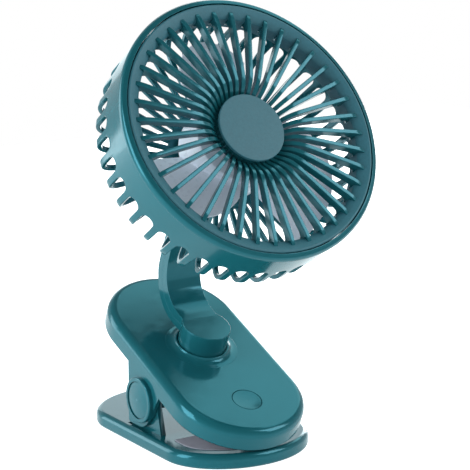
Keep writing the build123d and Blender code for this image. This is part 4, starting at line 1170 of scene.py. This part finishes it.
class FAN_OT_studio(bpy.types.Operator):
    """Stand the fan on a pale floor, with soft lamps and the camera in front of it"""

    bl_idname = "fan.studio"
    bl_label = "Build the studio"

    def execute(self, context):
        settings = context.scene.fan_studio
        self.floor(settings.floor_glow)
        for name, place, width, height, colour in LAMPS:
            soft_box(name, place, width, height, getattr(settings, f"{name}_power"), colour)
        # two panels with a gap between them, which the housing's top mirrors as a dark patch
        for name, slide, width, height, roll in REAR_PANELS:
            power = settings.deck_power * width * height
            panel = soft_box(name, REAR_PANEL_PLACE, width, height, power, PALE_TEAL)
            turn = panel.rotation_euler.to_quaternion()
            panel.location += turn @ Vector((*slide, 0))
            panel.rotation_euler = (turn @ Quaternion((0, 0, 1), roll)).to_euler()
        context.scene.world = white_studio(settings.surround)
        context.scene.view_settings.view_transform = "Standard"
        place_camera()
        return {"FINISHED"}

    def floor(self, glow):
        """A pale floor that shines white, and lights the fan less than it shines."""
        deselect_all()
        bpy.ops.mesh.primitive_plane_add(size=FLOOR_SIZE, location=(0, 0, 0))
        floor = bpy.context.object
        floor.name = "floor"
        bpy.ops.object.mode_set(mode="EDIT")
        bpy.ops.mesh.select_all(action="SELECT")
        bpy.ops.mesh.subdivide(number_cuts=3)
        bpy.ops.object.mode_set(mode="OBJECT")
        pale = new_material("floor", FLOOR_COLOUR, roughness=0.6)
        tree = pale.node_tree
        shader = tree.nodes["Principled BSDF"]
        set_sockets(shader, {"Emission Color": (1, 1, 1, 1)})
        ray = tree.nodes.new("ShaderNodeLightPath")
        spread = tree.nodes.new("ShaderNodeMapRange")
        set_sockets(spread, {"To Min": glow, "To Max": glow + FLOOR_SHINE})
        tree.links.new(ray.outputs["Is Camera Ray"], spread.inputs["Value"])
        tree.links.new(spread.outputs["Result"], shader.inputs["Emission Strength"])
        vary_roughness(pale, size=0.05, spread=0.05)
        floor.data.materials.append(pale)


# ---- Add-on ----

SETTINGS = {"fan_finish": FinishSettings, "fan_head": HeadSettings, "fan_studio": StudioSettings}
STEPS = (FAN_OT_finish_nodes, FAN_OT_rear_guard, FAN_OT_impeller, FAN_OT_front_grille, FAN_OT_hub_cap,
         FAN_OT_swivel_arm, FAN_OT_collar, FAN_OT_lower_jaw, FAN_OT_clamp_springs, FAN_OT_studio)


class FAN_PT_panel(bpy.types.Panel):
    """Lists the steps that dress the fan"""

    bl_label = "Clip-on fan"
    bl_idname = "FAN_PT_panel"
    bl_space_type = "VIEW_3D"
    bl_region_type = "UI"
    bl_category = "Fan"

    def draw(self, context):
        for name, group in SETTINGS.items():
            for setting in group.__annotations__:
                self.layout.prop(getattr(context.scene, name), setting)
        for step in STEPS:
            self.layout.operator(step.bl_idname)


CLASSES = (*SETTINGS.values(), *STEPS, FAN_PT_panel)


def register():
    for item in CLASSES:
        bpy.utils.register_class(item)
    for name, group in SETTINGS.items():
        setattr(bpy.types.Scene, name, bpy.props.PointerProperty(type=group))


def unregister():
    for name in SETTINGS:
        delattr(bpy.types.Scene, name)
    for item in reversed(CLASSES):
        bpy.utils.unregister_class(item)


def main():
    """Dress the fan."""
    register()
    bpy.ops.fan.finish_nodes()
    bpy.ops.fan.rear_guard()
    bpy.ops.fan.impeller()
    bpy.ops.fan.front_grille()
    bpy.ops.fan.hub_cap()
    bpy.ops.fan.swivel_arm()
    bpy.ops.fan.collar()
    bpy.ops.fan.lower_jaw()
    bpy.ops.fan.clamp_springs()
    bpy.ops.fan.studio()


if __name__ == "__main__":
    main()
